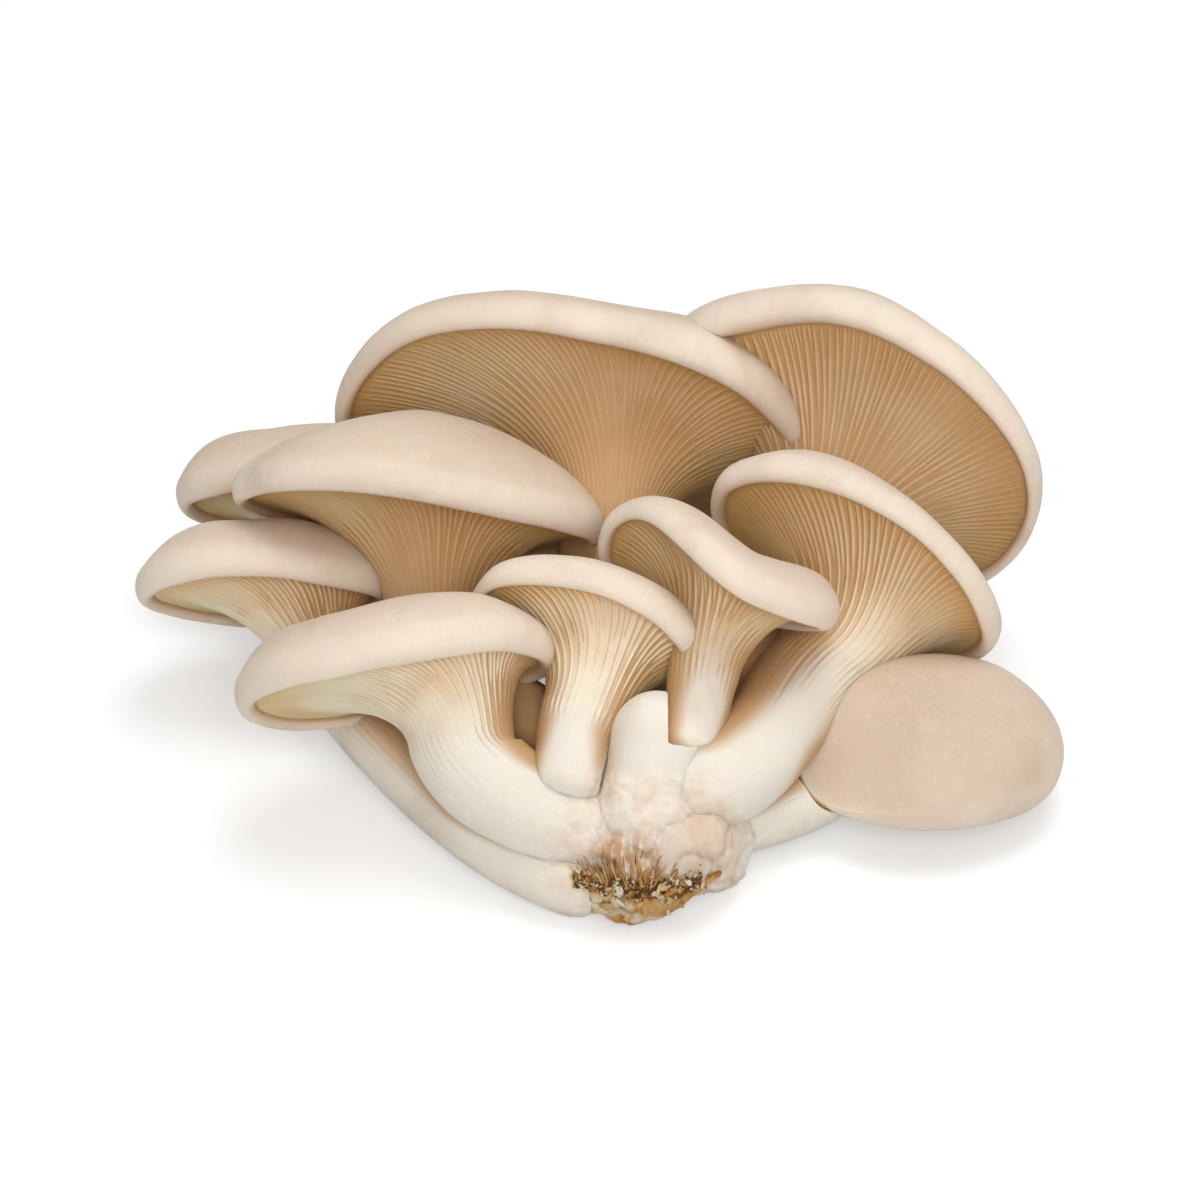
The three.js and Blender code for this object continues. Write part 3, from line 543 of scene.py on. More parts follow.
def grow_mushroom(name, seed, settings):
    """The mushroom's mesh: its foot, its stem with the gills that run down it, the flare with a
    full gill and three short ones in each period, the lip, and the crown."""
    mushroom = Mushroom(MUSHROOMS[name], seed)
    random, spec, turns = mushroom.random, mushroom.spec, mushroom.turns
    a, b = spec["semi"]
    margin = math.pi * (3 * (a + b) - math.sqrt((3 * a + b) * (a + 3 * b)))
    gills = max(FEWEST_GILLS, round(margin / (settings.gill_spacing / MM) / PERIOD))
    blade, deep = settings.gill_thickness / MM, settings.gill_depth / MM
    each = (1, gills, 1)
    first = PERIOD * np.arange(gills)[:, None]
    skin = Skin()

    def swung(share, along):
        """The columns' angles, with slow sideways swings, their slopes so small that no gills
        cross."""
        angle = TURN * (np.arange(gills)[:, None] + share) / gills
        total = 0
        for k, part in enumerate(SWING_SHARES):
            count = round(gills * part)
            total = total + SWING / count * np.sin(count * angle + turns[k] + (2 + k) * along)
        return angle + total * ease(along)

    # the stem: four columns for each full gill, with furrows that die out down the stem
    neck_round = TURN * spec["stem"][2]
    pitch = neck_round / gills
    crest, foot = blade / 2 / pitch, (blade / 2 + GILL_SIDE) / pitch
    t = np.linspace(0, STEM_END, STEM_ROWS)[:, None, None]
    angle = swung(np.array([-crest, crest, foot, 1 - foot]), t)
    end = random.uniform(*FURROW_ENDS, each)
    wave = 1 + 0.3 * np.sin(9 * t + random.uniform(0, 6, each))
    depth = NECK_SHARE * deep * ease((t - end) / (1.02 - end)) * np.array([0, 0, 1, 1]) * wave
    depth = depth * mushroom.breadth(angle)
    points = mushroom.stem(angle, t, depth)
    stem = skin.add(points, along=t, furrow=depth / deep, grain=around(angle, t))
    stem = stem.reshape(STEM_ROWS, -1)
    skin.sheet(stem)

    # the foot: a low dome under the first ring
    down = np.linspace(0, 1, FOOT_ROWS + 1)[-2:0:-1, None] * math.pi / 2
    angle = angle[0].reshape(1, -1)
    points = mushroom.stem(angle, 0 * down, 0, np.cos(down), FOOT_POLE * np.sin(down))
    dome = skin.add(points, along=0.0, furrow=0.0, grain=around(angle, 0.0))
    skin.sheet(np.concatenate([dome, stem[:1]]))
    start, way = mushroom.stem_line(np.zeros(1))
    pole = start - way * FOOT_POLE * spec["stem"][0]
    skin.cap(pole, dome[0], False, along=0.0, furrow=0.0, grain=(0, 0, 0))

    # the flare
    s = FLARE_PLACES[:, None, None]
    pitch = (neck_round + (margin - neck_round) * (1 - np.cos(QUARTER * s))) / gills
    starts = random.uniform(-SHORT_SPREAD, SHORT_SPREAD, (1, gills, 3))
    starts = starts + np.interp(SHORT_PITCHES, pitch.ravel(), FLARE_PLACES)
    presence = ease((s - starts) / SHORT_RAMP)
    angle = swung(gill_layout(pitch[..., 0], presence, blade), 1 + s)
    profile = (NECK_SHARE + (1 - NECK_SHARE) * ease(s / 0.6)) * np.minimum(1, (1 - s) / 0.05)
    on_crest = np.zeros(angle.shape)
    on_crest[..., :2] = 1
    for k, column in enumerate((4, 8, 12)):
        on_crest[..., column:column + 2] = presence[..., k:k + 1]
    tall = 1 - 0.12 * (1 + np.sin(14 * s + random.uniform(0, 6, each))) * ease(s * 4)
    wide = mushroom.breadth(angle)
    strong = np.sin(3 * angle + turns[6]) * np.cos(5 * angle - 2 * s + turns[7])
    depth = deep * profile * (1 - on_crest * tall) * wide
    depth = depth * (1 - GILL_CHANGE + GILL_CHANGE * strong * ease(s * 3))
    outward = around(angle, 0.0)
    slope = mushroom.flare_normal(angle, s) - outward
    inwards = unit(outward + slope * ease(s * 5)[..., None]) * depth[..., None]
    points = mushroom.world(mushroom.flare(angle, s) - inwards)
    flare = skin.add(points, along=1 + s * wide, furrow=depth / deep, grain=around(angle, 1 + s))
    flare = flare.reshape(len(s), -1)
    skin.sheet(flare)
    owners = first + np.repeat(np.arange(4), (1, 1, 7, 7))
    skin.stitch(stem[-1], flare[0], owners.ravel(), True)

    # the lip and the crown: one column for each gill
    angle = TURN * np.arange(gills * PERIOD) / (gills * PERIOD)
    row = np.linspace(0, 1, LIP_ROWS + 1)[1:, None]
    along, points = 2 + 0.3 * row, mushroom.world(mushroom.lip(angle, row))
    lip = skin.add(points, along=along, furrow=0.0, grain=around(angle, along))
    owners = first + np.repeat(np.arange(5), (3, 4, 4, 4, 1))
    skin.stitch(lip[0], flare[-1], owners.ravel(), False)
    q = np.linspace(0, 1, CROWN_ROWS + 1)[1:-1, None]
    wide = mushroom.breadth(angle)
    along = 2.3 + 0.7 * (q * (wide + (1 - wide) * q**2))
    points, grain = mushroom.world(mushroom.crown(angle, q)), around(angle, 2.3 + 0.7 * q, 1 - q)
    crown = skin.add(points, along=along, furrow=0.0, grain=grain)
    skin.sheet(np.concatenate([lip, crown]))
    top = mushroom.world(mushroom.crown(np.zeros(1), np.ones(1)))
    skin.cap(top, crown[-1], True, along=3.0, furrow=0.0, grain=(0, 0, 3))
    return mesh_of(name, skin, flesh_relief)


def cluster_balls(mushroom):
    """Balls that fill the mushroom roughly, as middles and radii: along its stem and in two rings
    under its cap."""
    t = np.linspace(0, 1, 9)
    middles, radii = [mushroom.stem_line(t)[0]], [mushroom.stem_radius(t)]
    angle, radius = np.linspace(0, TURN, 14, endpoint=False), 5.0
    for s in (0.55, 0.9):
        out = mushroom.flare(angle, np.full(len(angle), s))
        out[:, 2] += radius
        middles.append(mushroom.world(out))
        radii.append(np.full(len(angle), radius))
    return np.concatenate(middles), np.concatenate(radii)


def add_painted_gap_shade(mesh, balls, neck_painted_shade):
    """Gives each point its share of sky that other mushrooms' balls hide: a ball of radius r at a
    distance d hides r^2 / d^2 of it, times how squarely the point faces it. The neck of a cap that
    stands behind others gets some more. The flesh turns to painted shade by this share, in the
    gaps between mushrooms."""
    points = read(mesh.vertices, "co", 3) / MM
    normals = read(mesh.vertex_normals, "vector", 3)
    hidden = np.zeros(len(points), np.float32)
    for middle, radius in zip(*balls):
        way = middle.astype(np.float32) - points
        distance = np.sqrt((way * way).sum(1))
        facing = np.clip(((way * normals).sum(1) / distance + 0.2) / 1.2, 0, 1)
        hidden += facing * np.minimum(radius / distance, 1) ** 2
    along = read(mesh.attributes["along"].data, "value")
    hidden += neck_painted_shade * np.exp(-(((along - 1.1) / 0.4) ** 2))
    attribute = mesh.attributes.new("painted_gap_shade", "FLOAT", "POINT")
    attribute.data.foreach_set("value", 1 - np.exp(-hidden))


# ---- stub, butt and crust ----
def way_of(round_, up):
    """The unit vector that points so far round and so far up."""
    return np.stack([np.cos(up) * np.cos(round_), np.cos(up) * np.sin(round_), np.sin(up)], -1)


def globe(sides, rows, point):
    """A closed skin of rings and two poles, its points worked out from how far round and how far
    up they are."""
    skin = Skin()
    round_, up = np.meshgrid(
        np.linspace(0, TURN, sides, endpoint=False),
        np.linspace(-0.5, 0.5, rows + 1)[1:-1] * math.pi,
    )
    ids = skin.add(point(round_, up))
    skin.sheet(ids)
    for end, ring in ((-QUARTER, ids[0]), (QUARTER, ids[-1])):
        skin.cap(point(np.zeros(1), np.full(1, end)), ring, end > 0)
    return skin


def butt_point(round_, up):
    """A point of the butt: along every direction the ellipsoid's radius and the lumps."""
    way = way_of(round_, up)
    reach = 1 / np.linalg.norm(way / np.array(BUTT["radii"]), axis=-1)
    lump = 0.5 * np.sin(5 * round_ + 3 * up) * np.cos(up) * np.sin(4 * up + round_)
    for at, high, size, sharp in BUTT["lumps"]:
        top = way_of(np.radians(at), np.radians(high))
        lump = lump + size * np.exp(sharp * (way @ top - 1))
    return way * (reach + lump)[..., None] + np.array(BUTT["centre"])


def butt_relief(points):
    """Felted nubs, and narrow cracks where a slow noise passes through zero."""
    crack = np.exp(-((fractal(points, *CRACKS) / CRACK_WIDTH) ** 2))
    return NUB_HEIGHT * fractal(points, *NUBS) - CRACK_DEPTH * crack


def grow_butt(settings):
    """The butt's mesh: a ball of rings pushed out to the butt's surface."""
    skin = globe(*BUTT_GRID, butt_point)
    return mesh_of("butt", skin, lambda p: settings.nub_height / MM * butt_relief(p))


def grow_stub():
    """The stub's mesh: a round-topped stem turned about its axis, and flat where the knife went."""
    start, end = np.array(STUB["start"], float), np.array(STUB["end"], float)
    length, way = np.linalg.norm(end - start), unit(end - start)
    along, wide = np.array(STUB_PLACES) * length, np.array(STUB_WIDTHS) * STUB["radius"]
    up = np.linspace(along[0], along[-1], STUB_RINGS)
    radius = np.interp(up, along, wide)
    over = np.linspace(0, QUARTER, STUB_TOP_RINGS)[1:-1]
    up = np.concatenate([up, length + STUB["radius"] * np.sin(over)])
    radius = np.concatenate([radius, wide[-1] * np.cos(over)])
    window = np.ones(2 * STUB_SMOOTH + 1) / (2 * STUB_SMOOTH + 1)
    smooth = slice(STUB_SMOOTH, STUB_RINGS - STUB_SMOOTH)
    radius[smooth] = np.convolve(radius, window, "same")[smooth]
    u = unit(np.cross((0, 1, 0), way))
    v = np.cross(way, u)
    angle, up = np.meshgrid(np.linspace(0, TURN, STUB_SIDES, endpoint=False), up)
    radius = radius[:, None] * (1 + 0.03 * np.sin(2 * angle + up / 5) + 0.02 * np.sin(5 * angle))
    ring = np.cos(angle)[..., None] * u + np.sin(angle)[..., None] * v
    skin = Skin()
    points = start + up[..., None] * way + radius[..., None] * ring
    ids = skin.add(points, grain=around(angle, up / length))
    skin.sheet(ids)
    foot = STUB_PLACES[0]
    skin.cap(start + foot * length * way, ids[0], False, grain=(0, 0, foot))
    skin.cap(start + (length + STUB["radius"]) * way, ids[-1], True, grain=(0, 0, 1.5))

    mesh = mesh_of("cut_stub", skin, flesh_relief)
    points = read(mesh.vertices, "co", 3)
    high = ease(((points / MM - start) @ way - STUB["cut_up"]) / 0.8)
    limit = STUB["cut_x"] + 8 * (1 - high) + 0.05 * noise(points / MM, CUT_SEED)
    points[:, 0] = np.minimum(points[:, 0], limit * MM)
    mesh.vertices.foreach_set("co", points.ravel())
    mesh.update()
    mesh.set_sharp_from_angle(angle=math.radians(40))
    return mesh


def crumb_line(x):
    """How high the crumbs' line is: it hangs like a smile."""
    return LINE_HEIGHT + 0.008 * (x - LINE_MIDDLE) ** 2


def bed(x, high):
    """A point of the bed that the crumbs lie on, the butt's front: so far across and so far above
    the crumbs' line. The bed leans back above the line."""
    y = -7.2 + 0.016 * (x - LINE_MIDDLE) ** 2 + np.where(high > 0, 0.3, -0.12) * high
    return np.stack([x, y, crumb_line(x) + high], -1)


def lowest(x):
    """How far above the crumbs' line, so negative, the bed ends: low in the middle, rising
    right."""
    return 0.36 * np.sqrt((x + 2) ** 2 + 4) + 0.16 * (x + 2) - 0.72 - crumb_line(x)


def scatter(
    skin, random, shape, count, across, above, spread, least, most, lift, shades,
    bend=0.0, lean=0.3, upright=0.0,
):
    """Adds small pieces over the bed, evenly across it and about so far above the crumbs' line:
    copies of a ball, stretched to random sizes, roughened by random pushes, bent along their length
    and leaning off the bed's normal. The upright share turns their length up the bed, like a
    fan."""
    x = random.uniform(*across, count)
    high = np.maximum(random.normal(above, spread, count), lowest(x) + CRUMB_MARGIN)
    ones = np.ones(count)
    out = unit(np.stack([0.05 * (x - LINE_MIDDLE), -ones, 0.25 * ones], -1))
    centre = bed(x, high) + out * random.uniform(*lift, (count, 1))
    out = unit(out + lean * random.normal(0, 1, (count, 3)))
    fan = unit(np.stack([0.09 * (x + 2), 0.25 * ones, ones], -1))
    side = unit(np.cross(out, random.normal(0, 1, (count, 3))))
    side = unit(side * (1 - upright) + fan * upright)
    third = unit(np.cross(out, side))
    side = np.cross(third, out)
    least, most = np.array(least, float), np.array(most, float)
    size = random.uniform(0, 1, (count, 3)) ** 1.5 * (most - least) + least
    directions, quads, triangles = (np.concatenate(part) for part in shape)
    push = 1 + random.uniform(-0.3, 0.3, (count, len(directions)))
    local = directions[None] * push[..., None] * size[:, None] / 2
    local[..., 2] += bend * local[..., 0] ** 2
    points = np.einsum("cvk,ckj->cvj", local, np.stack([side, third, out], 1))
    ids = skin.add(centre[:, None] + points, shade=random.uniform(*shades, (count, 1)))
    skin.quads.append(ids[:, quads].reshape(-1, 4))
    skin.triangles.append(ids[:, triangles].reshape(-1, 3))


def crust_relief(points):
    """Flaky layers: steps where a slow noise crosses even heights, roughened, with a few pits."""
    slow = fractal(points, *LAYERS) * 3
    step = np.floor(slow) + ease((slow - np.floor(slow)) / 0.25)
    rough = fractal(points, *ROUGH)
    return 0.22 * step + 0.2 * rough - 0.6 * ease((-rough - 0.35) / 0.3)


def grow_crust(settings):
    """The crust's mesh, a lens on the bed below the crumbs' line. Its front bulges and its back
    lies deep in the butt."""
    skin = Skin()
    angle, place_ = np.meshgrid(
        np.linspace(0, TURN, CRUST_SIDES, endpoint=False),
        np.linspace(0, 2, 2 * CRUST_ROWS + 1)[1:-1],
    )
    share = np.minimum(place_, 2 - place_)
    ragged = 1 + sum(size * np.sin(count * angle + at) for count, size, at in CRUST_WAVES)
    x = CRUST_MIDDLE + CRUST_HALF * share * ragged * np.cos(angle)
    middle, half = (lowest(x) + CRUST_TOP) / 2, (CRUST_TOP - lowest(x)) / 2
    high = middle + half * share * ragged * np.sin(angle)
    thick = settings.crust_thickness / MM
    front, back = thick * (1 - share**4) - 0.4 * share, CRUST_BACK + 2.6 * share
    points = bed(x, high)
    points[..., 1] -= np.where(place_ < 1, front, back)
    patch = fractal(points, *PATCHES) + 0.25 * fractal(points, *SPECKS)
    # Darker along the crumbs' line: the dark brown of the substrate there, with painted shade for
    # the pits between the crumbs.
    shade = 0.74 + 0.2 * np.tanh(4 * patch) - 0.55 * np.exp(-((high / 1.6) ** 2))
    ids = skin.add(points, shade=shade)[:, ::-1]
    skin.sheet(ids)
    x = np.array([CRUST_MIDDLE])
    for lift, ring, above in ((thick, ids[0], False), (CRUST_BACK, ids[-1], True)):
        pole = bed(x, (lowest(x) + CRUST_TOP) / 2) - np.array([0, lift, 0])
        skin.cap(pole, ring, above, shade=0.7)
    return mesh_of("substrate_crust", skin, crust_relief)


def strew_bits():
    """The bits' mesh: crumbs, flakes and fibres strewn along the crumbs' line and above it."""
    random, skin = np.random.default_rng(CRUST_SEED), Skin()
    for kind in STREWN:
        ball = globe(*SHAPES[kind["shape"]], way_of)
        scatter(skin, random, **{**kind, "shape": (ball.points, ball.quads, ball.triangles)})
    return mesh_of("substrate_bits", skin)


# ---- materials ----
VALUE, COLOUR, PLACE = "NodeSocketFloat", "NodeSocketColor", "NodeSocketVector"
MIX_FACTOR, MIX_A, MIX_B, MIX_RESULT = 0, 6, 7, 2
WHITE = (1, 1, 1, 1)


def tone_of(value):
    """A number as a grey, and anything else as it is."""
    return (value, value, value, 1.0) if isinstance(value, float) else value


class Graph:
    """A node tree, with short ways to add its nodes."""

    def __init__(self, tree):
        self.tree = tree

    def feed(self, socket, value):
        """Links a socket to another one, or gives it a value."""
        if isinstance(value, bpy.types.NodeSocket):
            self.tree.links.new(value, socket)
        else:
            socket.default_value = value

    def add(self, kind, inputs=(), **settings):
        """Adds a node, sets its settings and feeds its inputs."""
        node = self.tree.nodes.new(kind)
        for name, value in settings.items():
            setattr(node, name, value)
        for name, value in dict(inputs).items():
            self.feed(node.inputs[name], value)
        return node

    def use(self, tree, inputs):
        """Places a node group with its values."""
        return self.add("ShaderNodeGroup", inputs, node_tree=tree).outputs

    def math(self, operation, a, b, clamp=False):
        """The result of a sum on two numbers."""
        node = self.add("ShaderNodeMath", {0: a, 1: b}, operation=operation, use_clamp=clamp)
        return node.outputs[0]

    def plus(self, a, b, clamp=False):
        """Two numbers added."""
        return self.math("ADD", a, b, clamp)

    def times(self, a, b):
        """Two numbers multiplied."""
        return self.math("MULTIPLY", a, b)

    def distance(self, a, b):
        """How far two places are apart."""
        node = self.add("ShaderNodeVectorMath", {0: a, 1: b}, operation="DISTANCE")
        return node.outputs["Value"]

    def stretch(self, a, b):
        """A vector multiplied axis by axis."""
        node = self.add("ShaderNodeVectorMath", {0: a, 1: b}, operation="MULTIPLY")
        return node.outputs["Vector"]

    def mix(self, factor, a, b):
        """One colour blended into another."""
        inputs = {MIX_FACTOR: factor, MIX_A: tone_of(a), MIX_B: tone_of(b)}
        return self.add("ShaderNodeMix", inputs, data_type="RGBA").outputs[MIX_RESULT]

    def tint(self, share, factor, base, tint):
        """A colour blended into the base, by a share of the factor."""
        return self.mix(self.times(factor, share), base, tint)

    def ramp(self, factor, *stops):
        """A colour, or a number written as a grey, that depends on the factor by straight steps."""
        node = self.add("ShaderNodeValToRGB", {"Fac": factor})
        elements = node.color_ramp.elements
        for element, (position, value) in zip(elements, (stops[0], stops[-1])):
            element.position, element.color = position, tone_of(value)
        for position, value in stops[1:-1]:
            elements.new(position).color = tone_of(value)
        return node.outputs["Color"]

    def fade(self, value, start, end):
        """0 at the start value and 1 at the end value, smoothly."""
        inputs = {"Value": value, "From Min": start, "From Max": end}
        node = self.add("ShaderNodeMapRange", inputs, interpolation_type="SMOOTHSTEP")
        return node.outputs["Result"]

    def cloud(self, vector, scale, detail=3.0, roughness=0.55, distortion=0.0):
        """Cloudy noise from 0 to 1."""
        inputs = {
            "Vector": vector, "Scale": scale, "Detail": detail, "Roughness": roughness,
            "Distortion": distortion,
        }
        return self.add("ShaderNodeTexNoise", inputs).outputs["Fac"]

    def attribute(self, name, output="Fac"):
        """A value that the mesh carries."""
        return self.add("ShaderNodeAttribute", attribute_name=name).outputs[output]


def group(name, inputs, outputs, build):
    """A node group with named sockets, built once and then found by its name."""
    if name in bpy.data.node_groups:
        return bpy.data.node_groups[name]
    tree = bpy.data.node_groups.new(name, "ShaderNodeTree")
    for direction, sockets in (("INPUT", inputs), ("OUTPUT", outputs)):
        for socket, (kind, *default) in sockets.items():
            made = tree.interface.new_socket(socket, in_out=direction, socket_type=kind)
            if default:
                made.default_value = default[0]
    graph = Graph(tree)
    graph.add("NodeGroupOutput", build(graph, graph.add("NodeGroupInput").outputs))
    return tree


def felt_group():
    """Felt of white threads round the butt: where it lies, how it stands up, how it is stained."""

    def build(g, given):
        vector = given["Vector"]
        rag = g.times(g.cloud(vector, 160.0), 0.009)
        away = g.math("SUBTRACT", g.plus(g.distance(vector, given["Middle"]), rag), given["Reach"])
        threads = g.cloud(vector, 2600.0, roughness=0.7, distortion=1.2)
        nubs = g.cloud(vector, 620.0, roughness=0.6, distortion=0.5)
        stain = g.fade(g.cloud(vector, 230.0, 5.0, 0.65, 0.8), 0.42, 0.72)
        near = g.fade(g.distance(vector, given["Splits"]), 0.010, 0.004)
        drawn = g.stretch(vector, (1, 0.4, 0.22))
        streaks = g.fade(g.cloud(drawn, 900.0, roughness=0.6), 0.36, 0.56)
        return {
            "Mask": g.fade(away, 0.0075, 0.0025),
            "Height": g.plus(g.times(threads, 0.35), g.times(nubs, 0.65)),
            "Stain": g.plus(g.times(stain, 0.3), g.times(streaks, near), True),
            "Cloud": g.fade(g.distance(vector, given["Lump"]), 0.013, 0.004),
        }

    inputs = dict.fromkeys(("Vector", "Middle", "Splits", "Lump"), (PLACE,))
    outputs = dict.fromkeys(("Mask", "Height", "Stain", "Cloud"), (VALUE,))
    return group("Felt of Threads", {**inputs, "Reach": (VALUE, 0.02)}, outputs, build)


def fibre_group():
    """Fine fibres on a stem and a crown: noise drawn out along the growth."""

    def build(g, given):
        drawn = g.stretch(given["Grain"], given["Stretch"])
        return {"Streak": g.cloud(drawn, 1.0, detail=2.0, roughness=0.6)}

    inputs = {"Grain": (PLACE,), "Stretch": (PLACE,)}
    return group("Grown Fibres", inputs, {"Streak": (VALUE,)}, build)


def mottle_group():
    """Soft uneven colour: a dark and a light tone in clouds over the base colour."""

    def build(g, given):
        vector, scale, amount = (given[name] for name in ("Vector", "Scale", "Amount"))
        broad = g.cloud(vector, scale, 4.0, 0.6, 0.4)
        fine = g.cloud(vector, g.times(scale, 9.0), roughness=0.65)
        dark = g.times(g.fade(broad, 0.45, 0.75), amount)
        light = g.times(g.fade(fine, 0.5, 0.8), g.times(amount, 0.5))
        return {"Colour": g.mix(light, g.mix(dark, given["Colour"], given["Dark"]), given["Light"])}

    inputs = {
        "Vector": (PLACE,), "Scale": (VALUE, 60.0), "Amount": (VALUE, 0.4),
        "Colour": (COLOUR,), "Dark": (COLOUR,), "Light": (COLOUR,),
    }
    return group("Soft Mottling", inputs, {"Colour": (COLOUR,)}, build)


def mottled(g, vector, scale, amount, colour, dark, light):
    """The colour with soft clouds of a dark and a light tone."""
    return g.use(mottle_group(), {
        "Vector": vector, "Scale": scale, "Amount": amount,
        "Colour": colour, "Dark": dark, "Light": paint(light),
    })["Colour"]


def fibres(g, round_, along):
    """Streaks along the grain, so many round it and along it."""
    inputs = {"Grain": g.attribute("grain", "Vector"), "Stretch": (round_, round_, along)}
    return g.use(fibre_group(), inputs)["Streak"]


def felt_layer(g, vector, settings):
    """The felt's group at its place, and its colour: off-white, beige clouds, brown stains."""
    places = {key.title(): [c * MM for c in FELT[key]] for key in ("middle", "splits", "lump")}
    felt = g.use(felt_group(), {"Vector": vector, "Reach": FELT["reach"] * MM, **places})
    white, shade = settings.felt_colour, settings.felt_shade
    base = mottled(g, vector, 140.0, 0.7, white, shade, "fffaf2")
    base = g.tint(0.6, felt["Cloud"], base, shade)
    return felt, g.tint(0.75, felt["Stain"], base, settings.stain_colour)


def object_place(g):
    """The place on the piece, in metres."""
    return g.add("ShaderNodeTexCoord").outputs["Object"]


def new_material(name):
    """An empty material with a Principled shader, and its graph."""
    material = bpy.data.materials.new(name)
    material.use_nodes = True
    shader, g = material.node_tree.nodes["Principled BSDF"], Graph(material.node_tree)
    return material, g, shader


def connect(g, shader, colour, roughness, relief, strength, distance):
    """Feeds the shader its colour, its roughness and the relief of a Bump node."""
    bump = g.add("ShaderNodeBump", {"Height": relief, "Strength": strength, "Distance": distance})
    g.feed(shader.inputs["Base Color"], colour)
    g.feed(shader.inputs["Roughness"], roughness)
    g.feed(shader.inputs["Normal"], bump.outputs["Normal"])


def soften(shader, weight, scale, radius):
    """Lets light into the flesh, deeper in red than in green and blue."""
    for name, value in (("Weight", weight), ("Scale", scale), ("Radius", radius)):
        shader.inputs["Subsurface " + name].default_value = value
    shader.inputs["Specular IOR Level"].default_value = 0.35


def flesh_material(settings, butt):
    """Mushroom flesh: white stem, tan gills with painted shade in their furrows and under the lip,
    a thin painted shade line in the crease where they end, painted shade in the gaps between
    mushrooms, a pale margin and a beige crown with faint clouds. The place along the mushroom runs
    from 0 at the foot, over a third at the neck and two thirds at the gills' edge, to 1 on the
    crown."""
    material, g, shader = new_material("mushroom flesh")
    vector = object_place(g)
    along = g.math("DIVIDE", g.attribute("along"), 3.0)
    stem, gill, edge = settings.stem_colour, settings.gill_colour, settings.margin_colour
    deep, shade = settings.under_lip_shade_colour, settings.crown_shade
    # The deep colour is painted shade on the gills under the lip; the crease colour is a thin line
    # of painted shade in the crease where the gills end.
    tone = g.ramp(
        along, (0.0, stem), (0.26, stem), (0.36, settings.neck_colour), (0.46, gill), (0.57, gill),
        (0.64, deep), (0.664, deep), (0.6675, settings.crease_shade_colour), (0.675, edge),
        (0.735, edge), (0.79, settings.crown_colour), (1.0, settings.crown_middle_colour),
    )
    tone = mottled(g, vector, 45.0, 0.35, tone, shade, "fff3e4")
    streak = fibres(g, 26.0, 3.0)
    # painted shade in the furrows between the gills, by their depth
    furrow = g.times(g.fade(g.attribute("furrow"), 0.02, 0.85), g.fade(along, 0.34, 0.5))
    tone = g.tint(0.38, furrow, tone, settings.furrow_shade_colour)
    # Margins and crowns further back along Y, past 85 mm, are tinted towards the crown shade.
    depth = g.add("ShaderNodeSeparateXYZ", {"Vector": vector}).outputs["Y"]
    further_back = g.times(g.fade(depth, 0.085, 0.125), g.fade(along, 0.665, 0.68))
    tone = g.tint(0.28, further_back, tone, shade)
    # painted shade in the gaps between mushrooms and at necks behind other caps, by the share of
    # sky hidden
    gap_shade_mask = g.times(g.fade(g.attribute("painted_gap_shade"), 0.3, 0.95), g.fade(along, 0.7, 0.66))
    tone = g.tint(0.8, gap_shade_mask, tone, settings.gap_shade_colour)
    tone = g.tint(0.18, g.fade(streak, 0.5, 0.8), tone, settings.streak_colour)
    fibrils = g.times(g.fade(streak, 0.48, 0.68), g.fade(along, 0.8, 0.92))
    tone = g.tint(0.2, fibrils, tone, shade)
    felt, felt_tone = felt_layer(g, vector, butt)
    tone = g.mix(felt["Mask"], tone, felt_tone)
    rough = g.ramp(
        along, (0.0, 0.62), (0.3, 0.62), (0.4, 0.8), (0.66, 0.8), (0.7, 0.55), (1.0, 0.5)
    )
    rough = g.mix(felt["Mask"], rough, 0.95)
    low = g.plus(g.times(g.cloud(vector, 900.0, roughness=0.6), 0.12), g.times(streak, 0.25))
    height = g.plus(low, g.times(g.times(felt["Height"], felt["Mask"]), 1.4))
    connect(g, shader, tone, rough, height, 0.5, 0.0006)
    soften(shader, 0.6, 0.0025, (1.0, 0.45, 0.2))
    return material


def stub_material(settings, butt):
    """The stub's white flesh, with faint fibres and felt on its lower part."""
    material, g, shader = new_material("stub flesh")
    vector = object_place(g)
    tone = mottled(g, vector, 90.0, 0.2, settings.stub_colour, settings.streak_colour, "fffdf8")
    felt, felt_tone = felt_layer(g, vector, butt)
    tone = g.mix(felt["Mask"], tone, felt_tone)
    rough = g.mix(felt["Mask"], 0.6, 0.95)
    height = g.plus(g.times(fibres(g, 16.0, 2.0), 0.3), g.times(felt["Height"], felt["Mask"]))
    connect(g, shader, tone, rough, height, 0.6, 0.0006)
    soften(shader, 0.5, 0.0025, (1.0, 0.5, 0.25))
    return material


def butt_material(settings):
    """The butt's felt: off-white threads with beige and brown clouds."""
    material, g, shader = new_material("butt felt")
    vector = object_place(g)
    felt, tone = felt_layer(g, vector, settings)
    rough = g.ramp(felt["Stain"], (0.0, 0.9), (1.0, 0.97))
    connect(g, shader, tone, rough, felt["Height"], 0.9, 0.0007)
    soften(shader, 0.35, 0.002, (1.0, 0.5, 0.25))
    return material


def substrate_material(settings):
    """Sawdust and straw: each bit's own shade, from dark brown over rust and straw to pale."""
    material, g, shader = new_material("straw and sawdust")
    vector = object_place(g)
    cloud = g.math("SUBTRACT", g.cloud(vector, 420.0, 4.0, 0.7), 0.5)
    shade = g.plus(g.attribute("shade"), g.times(cloud, 0.7), True)
    tone = g.ramp(
        shade, (0.0, settings.dark_colour), (0.3, settings.brown_colour),
        (0.5, settings.rust_colour), (0.72, settings.straw_colour), (1.0, settings.pale_colour),
    )
    rough = g.ramp(shade, (0.0, 0.95), (1.0, 0.8))
    connect(g, shader, tone, rough, g.cloud(vector, 1900.0, 4.0, 0.75), 0.8, 0.0006)
    shader.inputs["Specular IOR Level"].default_value = 0.3
    return material


